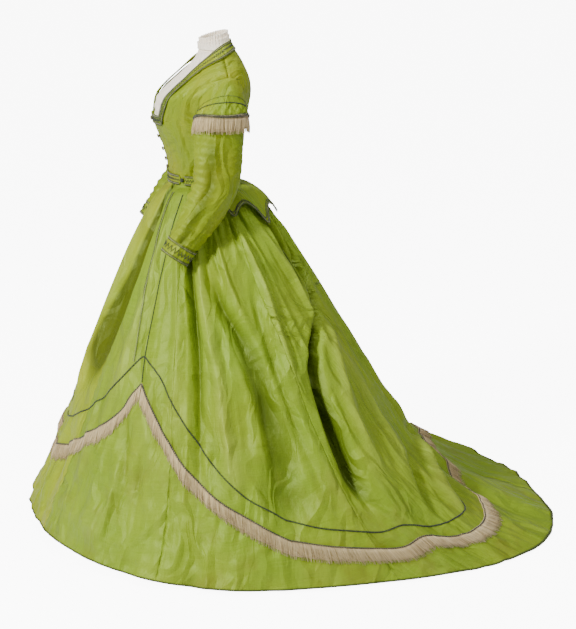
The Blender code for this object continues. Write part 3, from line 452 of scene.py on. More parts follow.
def stretched(tree, coordinates, scale, turn=0.0):
    """Coordinates stretched for a pattern, in patterns per metre each way."""
    return add_node(tree, "ShaderNodeMapping", {
        "Vector": coordinates, "Scale": scale, "Rotation": (0, 0, turn)}).outputs[0]


def noise(tree, places, detail, scale=1.0, rough=0.5):
    """Cloudy noise over places: its value, and its colour."""
    return add_node(tree, "ShaderNodeTexNoise", {
        "Vector": places, "Scale": scale, "Detail": detail, "Roughness": rough}).outputs


def mixed(tree, share, first, second, blend="MIX"):
    """One colour mixed with another by a share, which may come from a pattern."""
    return add_node(tree, "ShaderNodeMix", {0: share, 6: first, 7: second},
                    data_type="RGBA", blend_type=blend).outputs[2]


def ranged(tree, value, low, high, to_low=0.0, to_high=1.0):
    """A pattern's values from low to high, made to run from one share to another."""
    return add_node(tree, "ShaderNodeMapRange", {
        "Value": value, "From Min": low, "From Max": high, "To Min": to_low, "To Max": to_high,
    }).outputs[0]


def product(tree, first, second):
    return add_node(tree, "ShaderNodeMath", {0: first, 1: second}, operation="MULTIPLY").outputs[0]


def relief(tree, *layers):
    """Bumps laid over each other; a layer has its pattern, its strength and its height."""
    bump = None
    for pattern, strength, distance in layers:
        inputs = {"Height": pattern, "Strength": strength, "Distance": distance}
        if bump is not None:
            inputs["Normal"] = bump
        bump = add_node(tree, "ShaderNodeBump", inputs).outputs[0]
    return bump


def shaded(colour, part):
    return tuple(part * value for value in colour[:3]) + (1.0,)


PALE_SLUB = (0.50, 0.60, 0.08, 1)
DARK_WARP = (0.09, 0.13, 0.004, 1)
# Painted highlight: the pale green that the ridges of the folds are lightened towards
PAINTED_RIDGE_HIGHLIGHT = (0.42, 0.50, 0.08, 1)
OLD_MARK = (0.15, 0.10, 0.02, 1)
SILK_ROUGHNESS = 0.41, 0.53


def make_silk(name, green, gold, gold_share, stain):
    """Shot silk taffeta: a fine cross rib, slubs, soft creases, fading, a few old marks, painted
    shade in the folds and a painted highlight on their ridges.
    """
    silk, tree, shader, places = new_material(name)
    cloth, room = places["UV"], places["Object"]
    slub = noise(tree, stretched(tree, cloth, (9, 520, 1)), 3.0)[0]
    warp = noise(tree, stretched(tree, cloth, (420, 5, 1)), 2.0)[0]
    rib = add_node(tree, "ShaderNodeTexWave", {
        "Vector": cloth, "Scale": 260.0, "Distortion": 0.6, "Detail": 1.0, "Detail Scale": 2.0,
    }, bands_direction="Y").outputs[1]
    fading = noise(tree, room, 3.0, 3.1, 0.6)[0]
    clouds = noise(tree, stretched(tree, cloth, (11, 4, 1)), 5.0)[0]
    folds = add_node(tree, "ShaderNodeAttribute", {}, attribute_name="folds").outputs["Fac"]
    colour = green
    for pattern, start, full, share, tint in (
            # pattern, where it starts and where it is full, its share there, its colour
            (fading, 0.36, 0.68, gold_share, gold),
            (clouds, 0.40, 0.62, 0.5, shaded(green, 0.80)),
            (slub, 0.35, 0.70, 0.16, PALE_SLUB),
            (warp, 0.40, 0.70, 0.12, DARK_WARP),
            # painted shade: the deepest folds are darkened towards a fifth of the green
            (folds, -0.006, -0.036, 0.90, shaded(green, 0.20)),
            # painted highlight: the ridges of the folds are lightened
            (folds, 0.003, 0.020, 0.30, PAINTED_RIDGE_HIGHLIGHT)):
        colour = mixed(tree, ranged(tree, pattern, start, full, 0.0, share), colour, tint)
    marks = ranged(tree, noise(tree, room, 4.0, 7.0, 0.7)[0], 0.50, 0.74, 0.0, stain)
    height = add_node(tree, "ShaderNodeSeparateXYZ", {"Vector": room}).outputs[2]
    soiled = product(tree, marks, ranged(tree, height, -0.55, -1.0, 0.25, 1.0))
    bent = noise(tree, stretched(tree, cloth, (6, 4, 1)), 2.0)[1]
    swayed = mixed(tree, 0.12, cloth, bent, "LINEAR_LIGHT")
    creases = add_node(tree, "ShaderNodeTexVoronoi", {
        "Vector": stretched(tree, swayed, (15, 6, 1), 0.25), "Scale": 1.0,
    }, distance="MANHATTAN").outputs[0]
    fine = noise(tree, stretched(tree, cloth, (26, 12, 1), -0.3), 5.0, rough=0.6)[0]
    set_inputs(shader, {
        "Base Color": mixed(tree, soiled, colour, OLD_MARK),
        "Normal": relief(tree, (creases, 0.8, 0.014), (fine, 0.6, 0.009), (slub, 0.25, 0.0008),
                         (rib, 0.3, 0.0002)),
        "Roughness": ranged(tree, slub, 0.3, 0.7, *SILK_ROUGHNESS),
        "Specular IOR Level": 0.6, "Specular Tint": (0.74, 0.95, 0.30, 1),
        "Sheen Weight": 0.04, "Sheen Roughness": 0.35, "Sheen Tint": (0.85, 0.95, 0.45, 1)})
    return silk


skirt_green = make_silk("skirt_silk", (0.19, 0.31, 0.010, 1), (0.25, 0.31, 0.010, 1), 0.6, 0.5)
panel_green = make_silk(
    "front_panel_silk", (0.27, 0.36, 0.005, 1), (0.39, 0.40, 0.020, 1), 0.9, 0.3)
for name, start, end, wide, long, filled in SKIRT_GORES:
    columns = round((end - start) / 360 * SKIRT_COLUMNS)
    across = np.linspace(start, end, columns + 1)[None, :]
    down = np.linspace(0.0, 1.0, SKIRT_ROWS + 1)[:, None]
    sheet = skirt_silk(across, down), skirt_way(across, down)
    # Painted shading: the depth of the folds, with the two deepest folds made far deeper, so that
    # the silk paints them dark and their ridges light
    shade = skirt_folds(across, down) - PAINTED_HOLLOW_SHADE * deep_hollow(across, down)
    silk, slot = skirt_green, "green_silk"
    if name == "skirt_front_gore":
        silk, slot = panel_green, "front_silk"
    gore = sew_sheet(name + "_silk", sheet, CLOTH_WALL, silk, slot, name, folds=shade)

# The hem is bound with a narrow dark strip of worsted, which is sewn over the edge of the
# silk all the way round. It is too thin to have a solid of its own.
worsted, tree, shader, places = new_material("dark_worsted")
nap = noise(tree, stretched(tree, places["UV"], (700, 1500, 1)), 2.0)[0]
set_inputs(shader, {
    "Base Color": mixed(tree, nap, (0.020, 0.032, 0.004, 1), (0.085, 0.110, 0.016, 1)),
    "Normal": relief(tree, (nap, 0.5, 0.0004)), "Roughness": 0.85})
across = np.linspace(-180, 180, SKIRT_COLUMNS + 1)[None, :-1]
down = np.array([0.9955, 0.9972, 0.9990, 1.0])[:, None]
sheet = skirt_silk(across, down, 0.0009), skirt_way(across, down)
binding = sew_sheet("hem_binding", sheet, 0.0008, worsted, "dark_braid", ring=True)


# The bodice: two fronts buttoned down the middle and two backs, cut close with two darts
# in each front and a curved seam in each back, in the same silk, and boned inside.
SIDE_SEAM = 101
TORSO_LEVELS = [
    # height, centre, front, side, back, square
    (-0.02, 0.005, 0.093, 0.117, 0.105, 2.00),
    (0.00, 0.005, 0.089, 0.113, 0.100, 2.00),
    (0.016, 0.005, 0.090, 0.114, 0.1015, 2.00),
    (0.05, 0.007, 0.094, 0.121, 0.108, 2.05),
    (0.10, 0.012, 0.108, 0.136, 0.120, 2.10),
    (0.15, 0.017, 0.126, 0.149, 0.131, 2.10),
    (0.19, 0.020, 0.131, 0.158, 0.139, 2.15),
    (0.23, 0.025, 0.122, 0.169, 0.145, 2.20),
    (0.26, 0.030, 0.092, 0.177, 0.146, 2.25),
    (0.29, 0.038, 0.056, 0.170, 0.140, 2.20),
    (0.32, 0.045, 0.026, 0.137, 0.129, 2.10),
    (0.35, 0.050, 0.006, 0.088, 0.112, 2.00),
    (0.38, 0.047, 0.000, 0.060, 0.092, 2.00),
    (0.42, 0.045, 0.000, 0.056, 0.088, 2.00),
]
BODICE_PANELS = [
    # share, outer_height; inner_angle, inner_height and outer_angle of the front; of the back
    (0.00, 0.001, 0, 0.001, 101, 180, 0.001, 101),
    (0.12, 0.050, 0, 0.045, 101, 180, 0.048, 101),
    (0.24, 0.100, 0, 0.090, 101, 180, 0.098, 101),
    (0.34, 0.142, 0, 0.128, 101, 180, 0.140, 101),
    (0.42, 0.175, 0, 0.159, 101, 180, 0.178, 101),
    (0.50, 0.186, 11, 0.161, 91, 180, 0.215, 113),
    (0.58, 0.205, 22, 0.163, 82, 180, 0.250, 122),
    (0.66, 0.228, 28, 0.198, 77, 180, 0.284, 127),
    (0.74, 0.248, 31, 0.233, 77, 180, 0.315, 127),
    (0.81, 0.266, 31, 0.268, 81, 180, 0.343, 123),
    (0.88, 0.280, 38, 0.300, 88, 178, 0.368, 116),
    (0.94, 0.288, 57, 0.328, 96, 140, 0.363, 108),
    (1.00, 0.290, 98, 0.348, 101, 98, 0.348, 101),
]
BODICE_SEAMS = [
    # heights and angles that a dart or seam passes, its depth, how far its puckers reach
    ([(0.004, 23), (0.06, 21), (0.125, 22)], -0.0016, 2.2),
    ([(0.004, 45), (0.06, 41), (0.140, 39)], -0.0016, 2.2),
    ([(0.004, 152), (0.08, 150), (0.17, 146), (0.225, 127)], -0.0014, 2.0),
    ([(0.262, 126), (0.30, 133), (0.335, 142), (0.372, 150)], -0.0005, 1.6),
]
bodice_facets = loose_hand.uniform(0, 1, (40, 16, 2))
bodice_streaks = loose_hand.uniform(-1, 1, (30, 9))
SEAM_BEADS = 0.0007
ARMHOLE_DRAG = 0.0034
BELOW_BUST_DRAG = 0.0018
WAIST_CREASES = 0.0013
BUTTON_PULL = 0.0014
BUTTON_STEP = 0.034
BODICE_FACET_DEPTH = 0.0022
BODICE_STREAK_DEPTH = 0.0016
BODICE_ROWS, BODICE_COLUMNS = 71, 57


def torso_form(angle, height):
    """The torso without folds; the angle is measured round the body as on the skirt."""
    angle, height = np.broadcast_arrays(np.asarray(angle, float), np.asarray(height, float))
    centre, front, side, back, square = along_table(TORSO_LEVELS, height)
    across = signed_power(np.sin(np.radians(angle)), 2 / square)
    along = signed_power(-np.cos(np.radians(angle)), 2 / square)
    reach = np.where(along > 0, back - centre, front + centre)
    return np.stack([side * across, centre + reach * along, height], -1)


def on_torso(angle, height, lift):
    """Places on the torso or lifted off it, and the ways out there."""
    outs = -way_out(torso_form, angle, height)
    return torso_form(angle, height) + outs * np.asarray(lift)[..., None], outs


def bodice_folds(angle, height, left):
    """Darts, seams and the drag of the cloth between the bust, the armhole and the waist."""
    turns, aside = (angle % 360) / 360, np.abs(angle)
    depth = np.zeros(aside.shape)
    for route, groove, reach in BODICE_SEAMS:
        near = hump(aside, along_table(route, height)[0], reach)
        inside = rises(height, route[0][0], 0.01) * falls(height, route[-1][0], 0.02)
        depth += near * inside * (groove + SEAM_BEADS * np.sin(height * 520))
    armhole = hump(aside, 74, 16) * hump(height, 0.165, 0.042)
    drag = np.sin((aside * 0.0016 + height) * 330 + (0 if left else 1.4))
    depth += ARMHOLE_DRAG * armhole * drag
    creases = np.sin(aside * 0.33 + 2 * np.sin(aside * 0.11)) * (aside > 12)
    depth += WAIST_CREASES * hump(height, 0.026, 0.026) * creases
    below_bust = hump(aside, 26, 16) * hump(height, 0.095, 0.04)
    depth += BELOW_BUST_DRAG * below_bust * np.sin((height - aside * 0.0009) * 240)
    depth += BODICE_FACET_DEPTH * (crumple(turns, height, bodice_facets, 34) - 0.5)
    depth += BODICE_STREAK_DEPTH * soft_noise(turns, height, bodice_streaks, 22)
    buttoned = hump(aside, 0, 5.0) * (height < 0.16)
    depth += BUTTON_PULL * buttoned * np.sin(height * 2 * math.pi / BUTTON_STEP + 0.6)
    return depth


def rolled_edges(depth, turn_in=0.0005):
    """Sewn edges of a panel turn in a little, so that each seam shows as a soft line."""
    depth[:, [0, -1]] -= turn_in
    depth[:, [1, -2]] -= turn_in * 0.4
    return depth


bodice_green = make_silk("bodice_silk", (0.18, 0.29, 0.003, 1), (0.29, 0.29, 0.006, 1), 1.0, 0.1)
BODICE_CUTS = [
    # name, what keeps it on its side of the side seam, width and length of the cut, share of them
    ("bodice_front", np.minimum, 0.31, 0.37, 0.56),
    ("bodice_back", np.maximum, 0.28, 0.40, 0.58),
]
outer_height, *panels = along_table(BODICE_PANELS, np.linspace(0, 1, BODICE_ROWS)[:, None])
part = np.linspace(0, 1, BODICE_COLUMNS)[None, :]
for (name, keep, wide, long, filled), columns in zip(BODICE_CUTS, (panels[:3], panels[3:])):
    inner_angle, inner_height, outer_angle = columns
    angle = between(np.clip(inner_angle, 0.0, 180.0), keep(outer_angle, SIDE_SEAM), part)
    height = between(inner_height, outer_height, part)
    for side, way in SIDES:
        depth = rolled_edges(bodice_folds(angle * way, height, way > 0))
        piece = sew_sheet(f"{name}_{side}_silk", on_torso(angle * way, height, depth), CLOTH_WALL,
                          bodice_green, "green_silk", f"{name}_{side}")

# The sleeves: an outer and an under piece each, set into a dropped armhole, eased over the
# elbow and narrow at the wrist. They hang in soft diagonal creases.
SLEEVE_CAP_END = 0.16
SLEEVE_CAP_FULLNESS = 0.012
ARM_LEVELS = [
    # share, x, y, z, lean_degrees, wide, deep
    (0.16, 0.211, 0.030, 0.152, 0, 0.069, 0.047),
    (0.30, 0.216, 0.024, 0.100, 2, 0.067, 0.046),
    (0.45, 0.218, 0.018, 0.046, 8, 0.065, 0.046),
    (0.56, 0.225, 0.008, -0.002, 20, 0.061, 0.045),
    (0.68, 0.246, -0.024, -0.054, 30, 0.056, 0.043),
    (0.82, 0.267, -0.066, -0.111, 34, 0.048, 0.039),
    (1.00, 0.275, -0.110, -0.175, 34, 0.037, 0.033),
]
ARMHOLE_MIDDLE = (101, 0.2325)
ARMHOLE_HALF_ANGLE = 26.5
ARMHOLE_HALF_HEIGHT = 0.061
SLEEVE_OFF_ARMHOLE = 0.0024
ELBOW_SHARE = 0.60
SLEEVE_STREAK_DEPTH = 0.0030
ELBOW_CREASE_DEPTH = 0.0030
FOREARM_CREASE_DEPTH = 0.0016
UPPER_FOLD_DEPTH = 0.0022
SLEEVE_FACET_DEPTH = 0.0022
SLEEVE_PAINTED_SHADE = 0.028
SLEEVE_SEAM_GAP = 0.03
SLEEVE_ROWS, SLEEVE_COLUMNS = 111, 49
sleeve_facets = loose_hand.uniform(0, 1, (9, 26, 2))
sleeve_streaks = loose_hand.uniform(-1, 1, (8, 10))


def sleeve_form(turn, share):
    """The left sleeve without its creases. Turn 0 is the outer side and 90 the front."""
    turn, share = np.broadcast_arrays(np.asarray(turn, float), np.asarray(share, float))
    share = np.maximum(share, 0.0)
    across, out = np.sin(np.radians(turn)), np.cos(np.radians(turn))
    x, y, z, lean, wide, deep = along_table(ARM_LEVELS, share)
    lean = np.radians(lean)
    arm = np.stack([x + deep * out, y - np.cos(lean) * wide * across,
                    z + np.sin(lean) * wide * across], -1)
    elbow, wrist = np.array(ARM_LEVELS[-2][1:4]), np.array(ARM_LEVELS[-1][1:4])
    beyond = np.maximum(share - 1.0, 0.0) / (ARM_LEVELS[-1][0] - ARM_LEVELS[-2][0])
    arm = arm + (wrist - elbow) * beyond[..., None]
    edge, _ = on_torso(ARMHOLE_MIDDLE[0] - ARMHOLE_HALF_ANGLE * across,
                       ARMHOLE_MIDDLE[1] + ARMHOLE_HALF_HEIGHT * out, SLEEVE_OFF_ARMHOLE)
    blend = np.clip(share / SLEEVE_CAP_END, 0.0, 1.0)
    cap = edge + (arm - edge) * blend[..., None]
    full = SLEEVE_CAP_FULLNESS * np.sin(np.pi * blend) * np.maximum(out, 0.0)
    return cap + np.stack([full, np.zeros(full.shape), full], -1)


def sleeve_out(turn, share):
    return -way_out(sleeve_form, turn, share, 2.0, 0.01)


def sleeve_folds(turn, share, right):
    """Creases at the elbow, long soft folds, and the crushed look of silk that has seen long wear.
    """
    turns, shift = (turn % 360) / 360, 1.3 if right else 0.0
    depth = SLEEVE_STREAK_DEPTH * soft_noise(turns, share, sleeve_streaks, 4, (shift, 0))
    bend = 0.5 + 0.5 * np.cos(np.radians(turn - 100))
    elbow = hump(share, ELBOW_SHARE, 0.13) * bend
    depth += ELBOW_CREASE_DEPTH * elbow * np.sin(share * 95 + np.radians(turn) * 1.4 + shift)
    low = rises(share, 0.62, 0.2) * falls(share, 1.0, 0.1)
    depth += FOREARM_CREASE_DEPTH * low * np.sin(share * 120 - np.radians(turn) * 2.0 + shift)
    upper = falls(share, 0.56, 0.3) * rises(share, 0.05, 0.1)
    depth += UPPER_FOLD_DEPTH * upper * np.cos(np.radians(turn * 3 + 40) + share * 6 + shift)
    depth += SLEEVE_FACET_DEPTH * (crumple(turns, share, sleeve_facets) - 0.5)
    return depth * rises(share, 0, 0.05) * (0.35 + 0.65 * falls(share, 0.985, 0.04))


def mirrored(rows):
    """The same places on the wearer's other side."""
    return rows * np.array([-1.0, 1.0, 1.0])


def on_sleeve(turn, share, side, lift):
    """Places on the sleeve of one side or lifted off it, and the ways out there."""
    outs = sleeve_out(turn, share)
    points = sleeve_form(turn, share) + outs * np.asarray(lift)[..., None]
    return (points, outs) if side == "left" else (mirrored(points), mirrored(outs))


sleeve_green = make_silk("sleeve_silk", (0.18, 0.28, 0.003, 1), (0.27, 0.28, 0.006, 1), 0.9, 0.1)
SLEEVE_CUTS = [
    # name, start and end turn, width and length of the cut, share of that rectangle
    ("sleeve_outer", -90, 90, 0.21, 0.52, 0.80),
    ("sleeve_under", 90, 270, 0.21, 0.50, 0.80),
]
for name, start, end, wide, long, filled in SLEEVE_CUTS:
    turn = np.linspace(start + SLEEVE_SEAM_GAP, end - SLEEVE_SEAM_GAP, SLEEVE_COLUMNS)[None, :]
    share = np.linspace(0.0, 1.0, SLEEVE_ROWS)[:, None]
    # Painted shade: a dark band down the outer side of each sleeve, a little towards the front,
    # from below the cap
    shade = -SLEEVE_PAINTED_SHADE * hump(turn, 22, 20) * rises(share, 0.12, 0.2)
    for side, _ in SIDES:
        depth = rolled_edges(sleeve_folds(turn, share, side == "right"), turn_in=0.0008)
        piece = sew_sheet(f"{name}_{side}_silk", on_sleeve(turn, share, side, depth), CLOTH_WALL,
                          sleeve_green, "green_silk", f"{name}_{side}", folds=shade)


# The braid: every edge of the dress is trimmed with narrow gimp, a grey-beige silk cord
# laid in a zigzag between two dark green cords that are looped along each side.
CORD = 0.00055
CORDS_APART = 0.013
LOOP_SWING = 0.0008
GIMP_INSIDE = 0.0042
GIMP_LIFT = 0.0006


def unit(rows):
    return rows / np.maximum(np.linalg.norm(rows, axis=-1, keepdims=True), 1e-12)


def cord_mesh(name, lines, outs, radius):
    """Thin four-sided cords, each closed at its ends, along lines of places."""
    count, steps = lines.shape[:2]
    along = unit(np.gradient(lines, axis=1))
    side = unit(np.cross(along, outs))
    up = np.cross(side, along)
    turn = np.radians(45 + 90 * np.arange(4))[:, None]
    ring = np.cos(turn) * side[:, :, None] + np.sin(turn) * up[:, :, None]
    thick = np.broadcast_to(radius, (steps,))[None, :, None, None]
    corners = (lines[:, :, None] + ring * thick).reshape(-1, 3)
    index = np.arange(count * steps * 4).reshape(count, steps, 4)
    after = np.roll(index, -1, axis=2)
    tube = np.stack([index[:, :-1], index[:, 1:], after[:, 1:], after[:, :-1]], -1)
    faces = np.concatenate([tube.reshape(-1, 4), index[:, 0], index[:, -1, ::-1]])
    number = np.broadcast_to(np.arange(count)[:, None] * CORDS_APART, (count, steps))
    uv = np.repeat(np.stack([number, measured(lines, 1)], -1).reshape(-1, 2), 4, axis=0)
    return mesh_from(name, corners, faces, uv[faces])


def even_steps(places, outs, step):
    """Even steps along a line on a piece: places, ways out, ways across, and how far along."""
    lengths = measured(places)
    at = np.linspace(0, lengths[-1], max(int(lengths[-1] / step), 2) + 1)
    line = np.stack([np.interp(at, lengths, places[:, k]) for k in range(3)], -1)
    out = unit(np.stack([np.interp(at, lengths, outs[:, k]) for k in range(3)], -1))
    across = unit(np.cross(out, np.gradient(line, axis=0)))
    return line, out, across, at


def make_thread(name, dark, light, rough):
    """Silk cord or thread: fine twist, and each length a little lighter or darker."""
    thread, tree, shader, places = new_material(name)
    hue = noise(tree, stretched(tree, places["UV"], (160, 14, 1)), 3.0)[0]
    twist = add_node(tree, "ShaderNodeTexWave", {
        "Vector": stretched(tree, places["UV"], (1, 1, 1), 0.7), "Scale": 150.0,
        "Distortion": 0.4}, bands_direction="Y").outputs[1]
    set_inputs(shader, {
        "Base Color": mixed(tree, ranged(tree, hue, 0.32, 0.68), dark, light),
        "Normal": relief(tree, (twist, 0.5, 0.0003)), "Roughness": rough, "Sheen Weight": 0.25})
    return thread


dark_cord = make_thread("dark_cord", (0.004, 0.008, 0.002, 1), (0.018, 0.026, 0.008, 1), 0.6)
grey_gimp = make_thread("grey_gimp", (0.19, 0.20, 0.08, 1), (0.46, 0.46, 0.24, 1), 0.65)


def sew_zigzag(name, line, width, slot, period=0.0078, lift=0.0004, cord=0.0008,
               thread=dark_cord):
    """One cord laid in a zigzag along a line of places and the ways out there."""
    places, out, across, at = even_steps(*line, period / 4)
    swing = np.arcsin(np.sin(2 * np.pi * at / period)) / np.pi * width
    middle = (places + across * swing[:, None] + out * lift)[None]
    sew_on(name, cord_mesh(name, middle, out[None], cord), thread, slot)


def sew_gimp(name, line, width, slot, nodes=(), zigzag=0.0056, loops=0.0044):
    """Two looped dark cords along the sides of a line, and a zigzag of grey gimp between."""
    places, out, across, at = even_steps(*line, loops / 4)
    edges = []
    for side in (-1, 1):
        swing = LOOP_SWING * np.sin(2 * np.pi * at / loops + side)
        reach = side * (width / 2 - LOOP_SWING) + swing
        edges.append(places + across * reach[:, None] + out * GIMP_LIFT)
    edge_mesh = cord_mesh(name + "_edges", np.stack(edges), np.stack([out, out]), CORD * 1.15)
    sew_on(name + "_edges", edge_mesh, dark_cord, slot, *nodes)
    sew_zigzag(name + "_gimp", line, width - GIMP_INSIDE, slot, zigzag, GIMP_LIFT, CORD,
               grey_gimp)


def sew_chain(name, line, slot, nodes=(), width=0.0026, loops=0.0048, lift=0.0006,
              cord=CORD * 1.2):
    """One line of dark chain: two cords that cross over and under each other."""
    places, out, across, at = even_steps(*line, loops / 4)
    wave = np.sin(np.pi * at / loops * 2)
    pair = [places + across * (way * width / 2 * wave)[:, None] + out * (lift + way * 0.0003)
            for way in (-1, 1)]
    thick = cord * (1.6 - 1.35 * np.abs(wave))
    mesh = cord_mesh(name, np.stack(pair), np.stack([out, out]), thick)
    sew_on(name, mesh, dark_cord, slot, *nodes)


# The neck band: a strip of the silk round the neckline, squared at the front, with gimp
# along both edges and another line along its middle, in a left and a right half.
NECK_BAND = [
    # share, outer_angle, outer_height, inner_angle, inner_height
    (0.00, 0.05, 0.157, 0.05, 0.184),
    (0.10, 24, 0.157, 20, 0.184),
    (0.14, 27, 0.161, 23, 0.189),
    (0.28, 34, 0.210, 26, 0.228),
    (0.42, 36, 0.262, 26, 0.276),
    (0.55, 45, 0.302, 30, 0.308),
    (0.66, 64, 0.323, 44, 0.334),
    (0.76, 92, 0.339, 78, 0.363),
    (0.86, 125, 0.354, 120, 0.382),
    (1.00, 179.95, 0.363, 179.95, 0.390),
]
NECK_BAND_LIFT = 0.0037


def on_neck_band(share, across, way, lift):
    """Places on the neck band, from its outer edge to its inner edge, and the ways out there."""
    outer_angle, outer_height, inner_angle, inner_height = along_table(NECK_BAND, share)
    angle = np.clip(between(outer_angle, inner_angle, across), 0.05, 179.95) * way
    return on_torso(angle, between(outer_height, inner_height, across), NECK_BAND_LIFT + lift)


for side, way in SIDES:
    across = np.linspace(0, 1, 7)[:, None]
    sheet = on_neck_band(np.linspace(0, 1, 201)[None, :], across, way,
                         0.0006 * np.sin(np.pi * across))
    band = sew_sheet(f"neck_band_{side}_silk", sheet, 0.0009, bodice_green, "dark_braid",
                     f"neck_band_{side}")
    share = np.linspace(0.002, 0.998, 260)
    for line, across in (("outer", 0.12), ("inner", 0.86)):
        sew_gimp(f"neck_band_{side}_{line}", on_neck_band(share, across, way, 0.0004), 0.0070,
                 "dark_braid")
    sew_zigzag(f"neck_band_{side}_middle", on_neck_band(share, 0.5, way, 0.0008), 0.0100,
               "dark_braid")

# The belt: a straight band of the silk with gimp along both edges and a zigzag between,
# a front length with rounded ends and a longer back length, closed by a covered knob.
BELT_HALF = 0.0145
BELT_FRONT_ANGLE = 42
BELT_BACK_ANGLE = 51
BELT_LENGTHS = [
    # name, start and end angle, lift, rounding of the ends in degrees, length of the cut
    ("belt_front", -BELT_FRONT_ANGLE, BELT_FRONT_ANGLE, 0.0032, 5.0, 0.155),
    ("belt_back", BELT_BACK_ANGLE, 360 - BELT_BACK_ANGLE, 0.0041, 0.0, 0.50),
]


def on_belt(angle, level, lift):
    """Places on the belt, which stands straight up from the waist, and the ways out there."""
    points, outs = on_torso(angle, 0.0, lift)
    points[..., 2] = level
    return points, outs


for part, start, end, lift, rounding, long in BELT_LENGTHS:
    level = np.linspace(1, -1, 13)[:, None]
    tuck = rounding * (1 - np.sqrt(np.maximum(1 - level * level, 0.0)))
    angle = (start + tuck) + (end - start - 2 * tuck) * np.linspace(0, 1, 121)[None, :]
    sheet = on_belt(angle, level * BELT_HALF, lift + 0.0005 * np.cos(level * np.pi / 2))
    band = sew_sheet(part + "_silk", sheet, 0.0010, bodice_green, "dark_braid", part)
    angle = np.linspace(start + rounding * 0.5, end - rounding * 0.5, 200)
    for line, height in (("upper", 0.0108), ("lower", -0.0108)):
        sew_gimp(f"{part}_{line}", on_belt(angle, height, lift + 0.0006), 0.0062, "dark_braid")
    angle = np.linspace(start + 1.0, end - 1.0, 240)
    sew_zigzag(part + "_middle", on_belt(angle, 0.0, lift + 0.0007), 0.0092, "dark_braid")

# The basque: a pointed flap of silk behind the waist on each side, open at the centre back,
# with gimp along its shaped lower edge. It lies over the gathers of the skirt.
BASQUE_EDGE = [
    # angle, share
    (96, 0.045), (104, 0.112), (113, 0.092), (121, 0.084), (129, 0.105), (136, 0.148),
    (145, 0.124), (156, 0.106), (168, 0.124), (180, 0.146),
]
BASQUE_START = 0.022
BASQUE_WAVES = 9


def on_basque(angle, fraction, way, lift=0.0):
    """Places on the basque, from its top to its lower edge, and the ways out there."""
    edge = along_table(BASQUE_EDGE, angle)[0]
    share = BASQUE_START + (edge - BASQUE_START) * fraction
    outs = skirt_way(np.minimum(angle, 179.6) * way, share)
    rise = 0.0032 + 0.010 * ease(fraction * 1.4)
    rise = rise + 0.0022 * ease(fraction) * np.sin(np.radians(angle) * BASQUE_WAVES + way)
    return skirt_form(angle * way, share) + outs * (rise + lift)[..., None], outs


for side, way in SIDES:
    sheet = on_basque(np.linspace(96, 179.92, 161)[None, :], np.linspace(0, 1, 41)[:, None], way)
    flap = sew_sheet(f"basque_{side}_silk", sheet, CLOTH_WALL, bodice_green, "green_silk",
                     f"basque_{side}")
    angle = np.linspace(96.5, 179.7, 420)
    sew_gimp(f"basque_{side}_edge", on_basque(angle, 0.955, way, 0.0003), 0.0080, "green_silk")
    sew_chain(f"basque_{side}_second", on_basque(angle, 0.86, way, 0.0003), "green_silk")

# The cuffs: a band of the silk round each wrist, with dark gimp along both edges and a
# zigzag of dark cord between them.
CUFF_START, CUFF_END = 0.91, 1.02
CUFF_FLARE = 0.0035
for side, _ in SIDES:
    down = np.linspace(0, 1, 13)[:, None]
    lift = 0.0018 + CUFF_FLARE * down + 0.0007 * np.sin(np.pi * down)
    sheet = on_sleeve(np.linspace(0, 360, 73)[None, :-1], between(CUFF_START, CUFF_END, down),
                      side, lift)
    band = sew_sheet(f"cuff_band_{side}_silk", sheet, 0.0009, bodice_green, "dark_braid",
                     f"cuff_band_{side}", ring=True)
    turn = np.linspace(0, 360, 145)
    for line, down in (("wrist", 0.10), ("hand", 0.90)):
        share, lift = between(CUFF_START, CUFF_END, down), 0.0024 + CUFF_FLARE * down
        sew_gimp(f"cuff_{side}_{line}", on_sleeve(turn, share, side, lift), 0.0068, "dark_braid")
    sew_zigzag(f"cuff_{side}_middle", on_sleeve(turn, (CUFF_START + CUFF_END) / 2, side, 0.0050),
               0.018, "dark_braid", period=0.012)

# The fringes: silk threads knotted side by side into a narrow head, hanging about 50 mm.
# An under layer of thread lies behind the loose ones, and dark chain covers the head.
fringe_silk = make_thread("fringe_silk", (0.30, 0.20, 0.070, 1), (0.78, 0.62, 0.32, 1), 0.6)
THREAD_STEP = 0.0018
CLUMP, DRIFT = 5.0, 30.0
THREAD_RADII = np.array([0.0008, 0.0008, 0.0007, 0.0004])


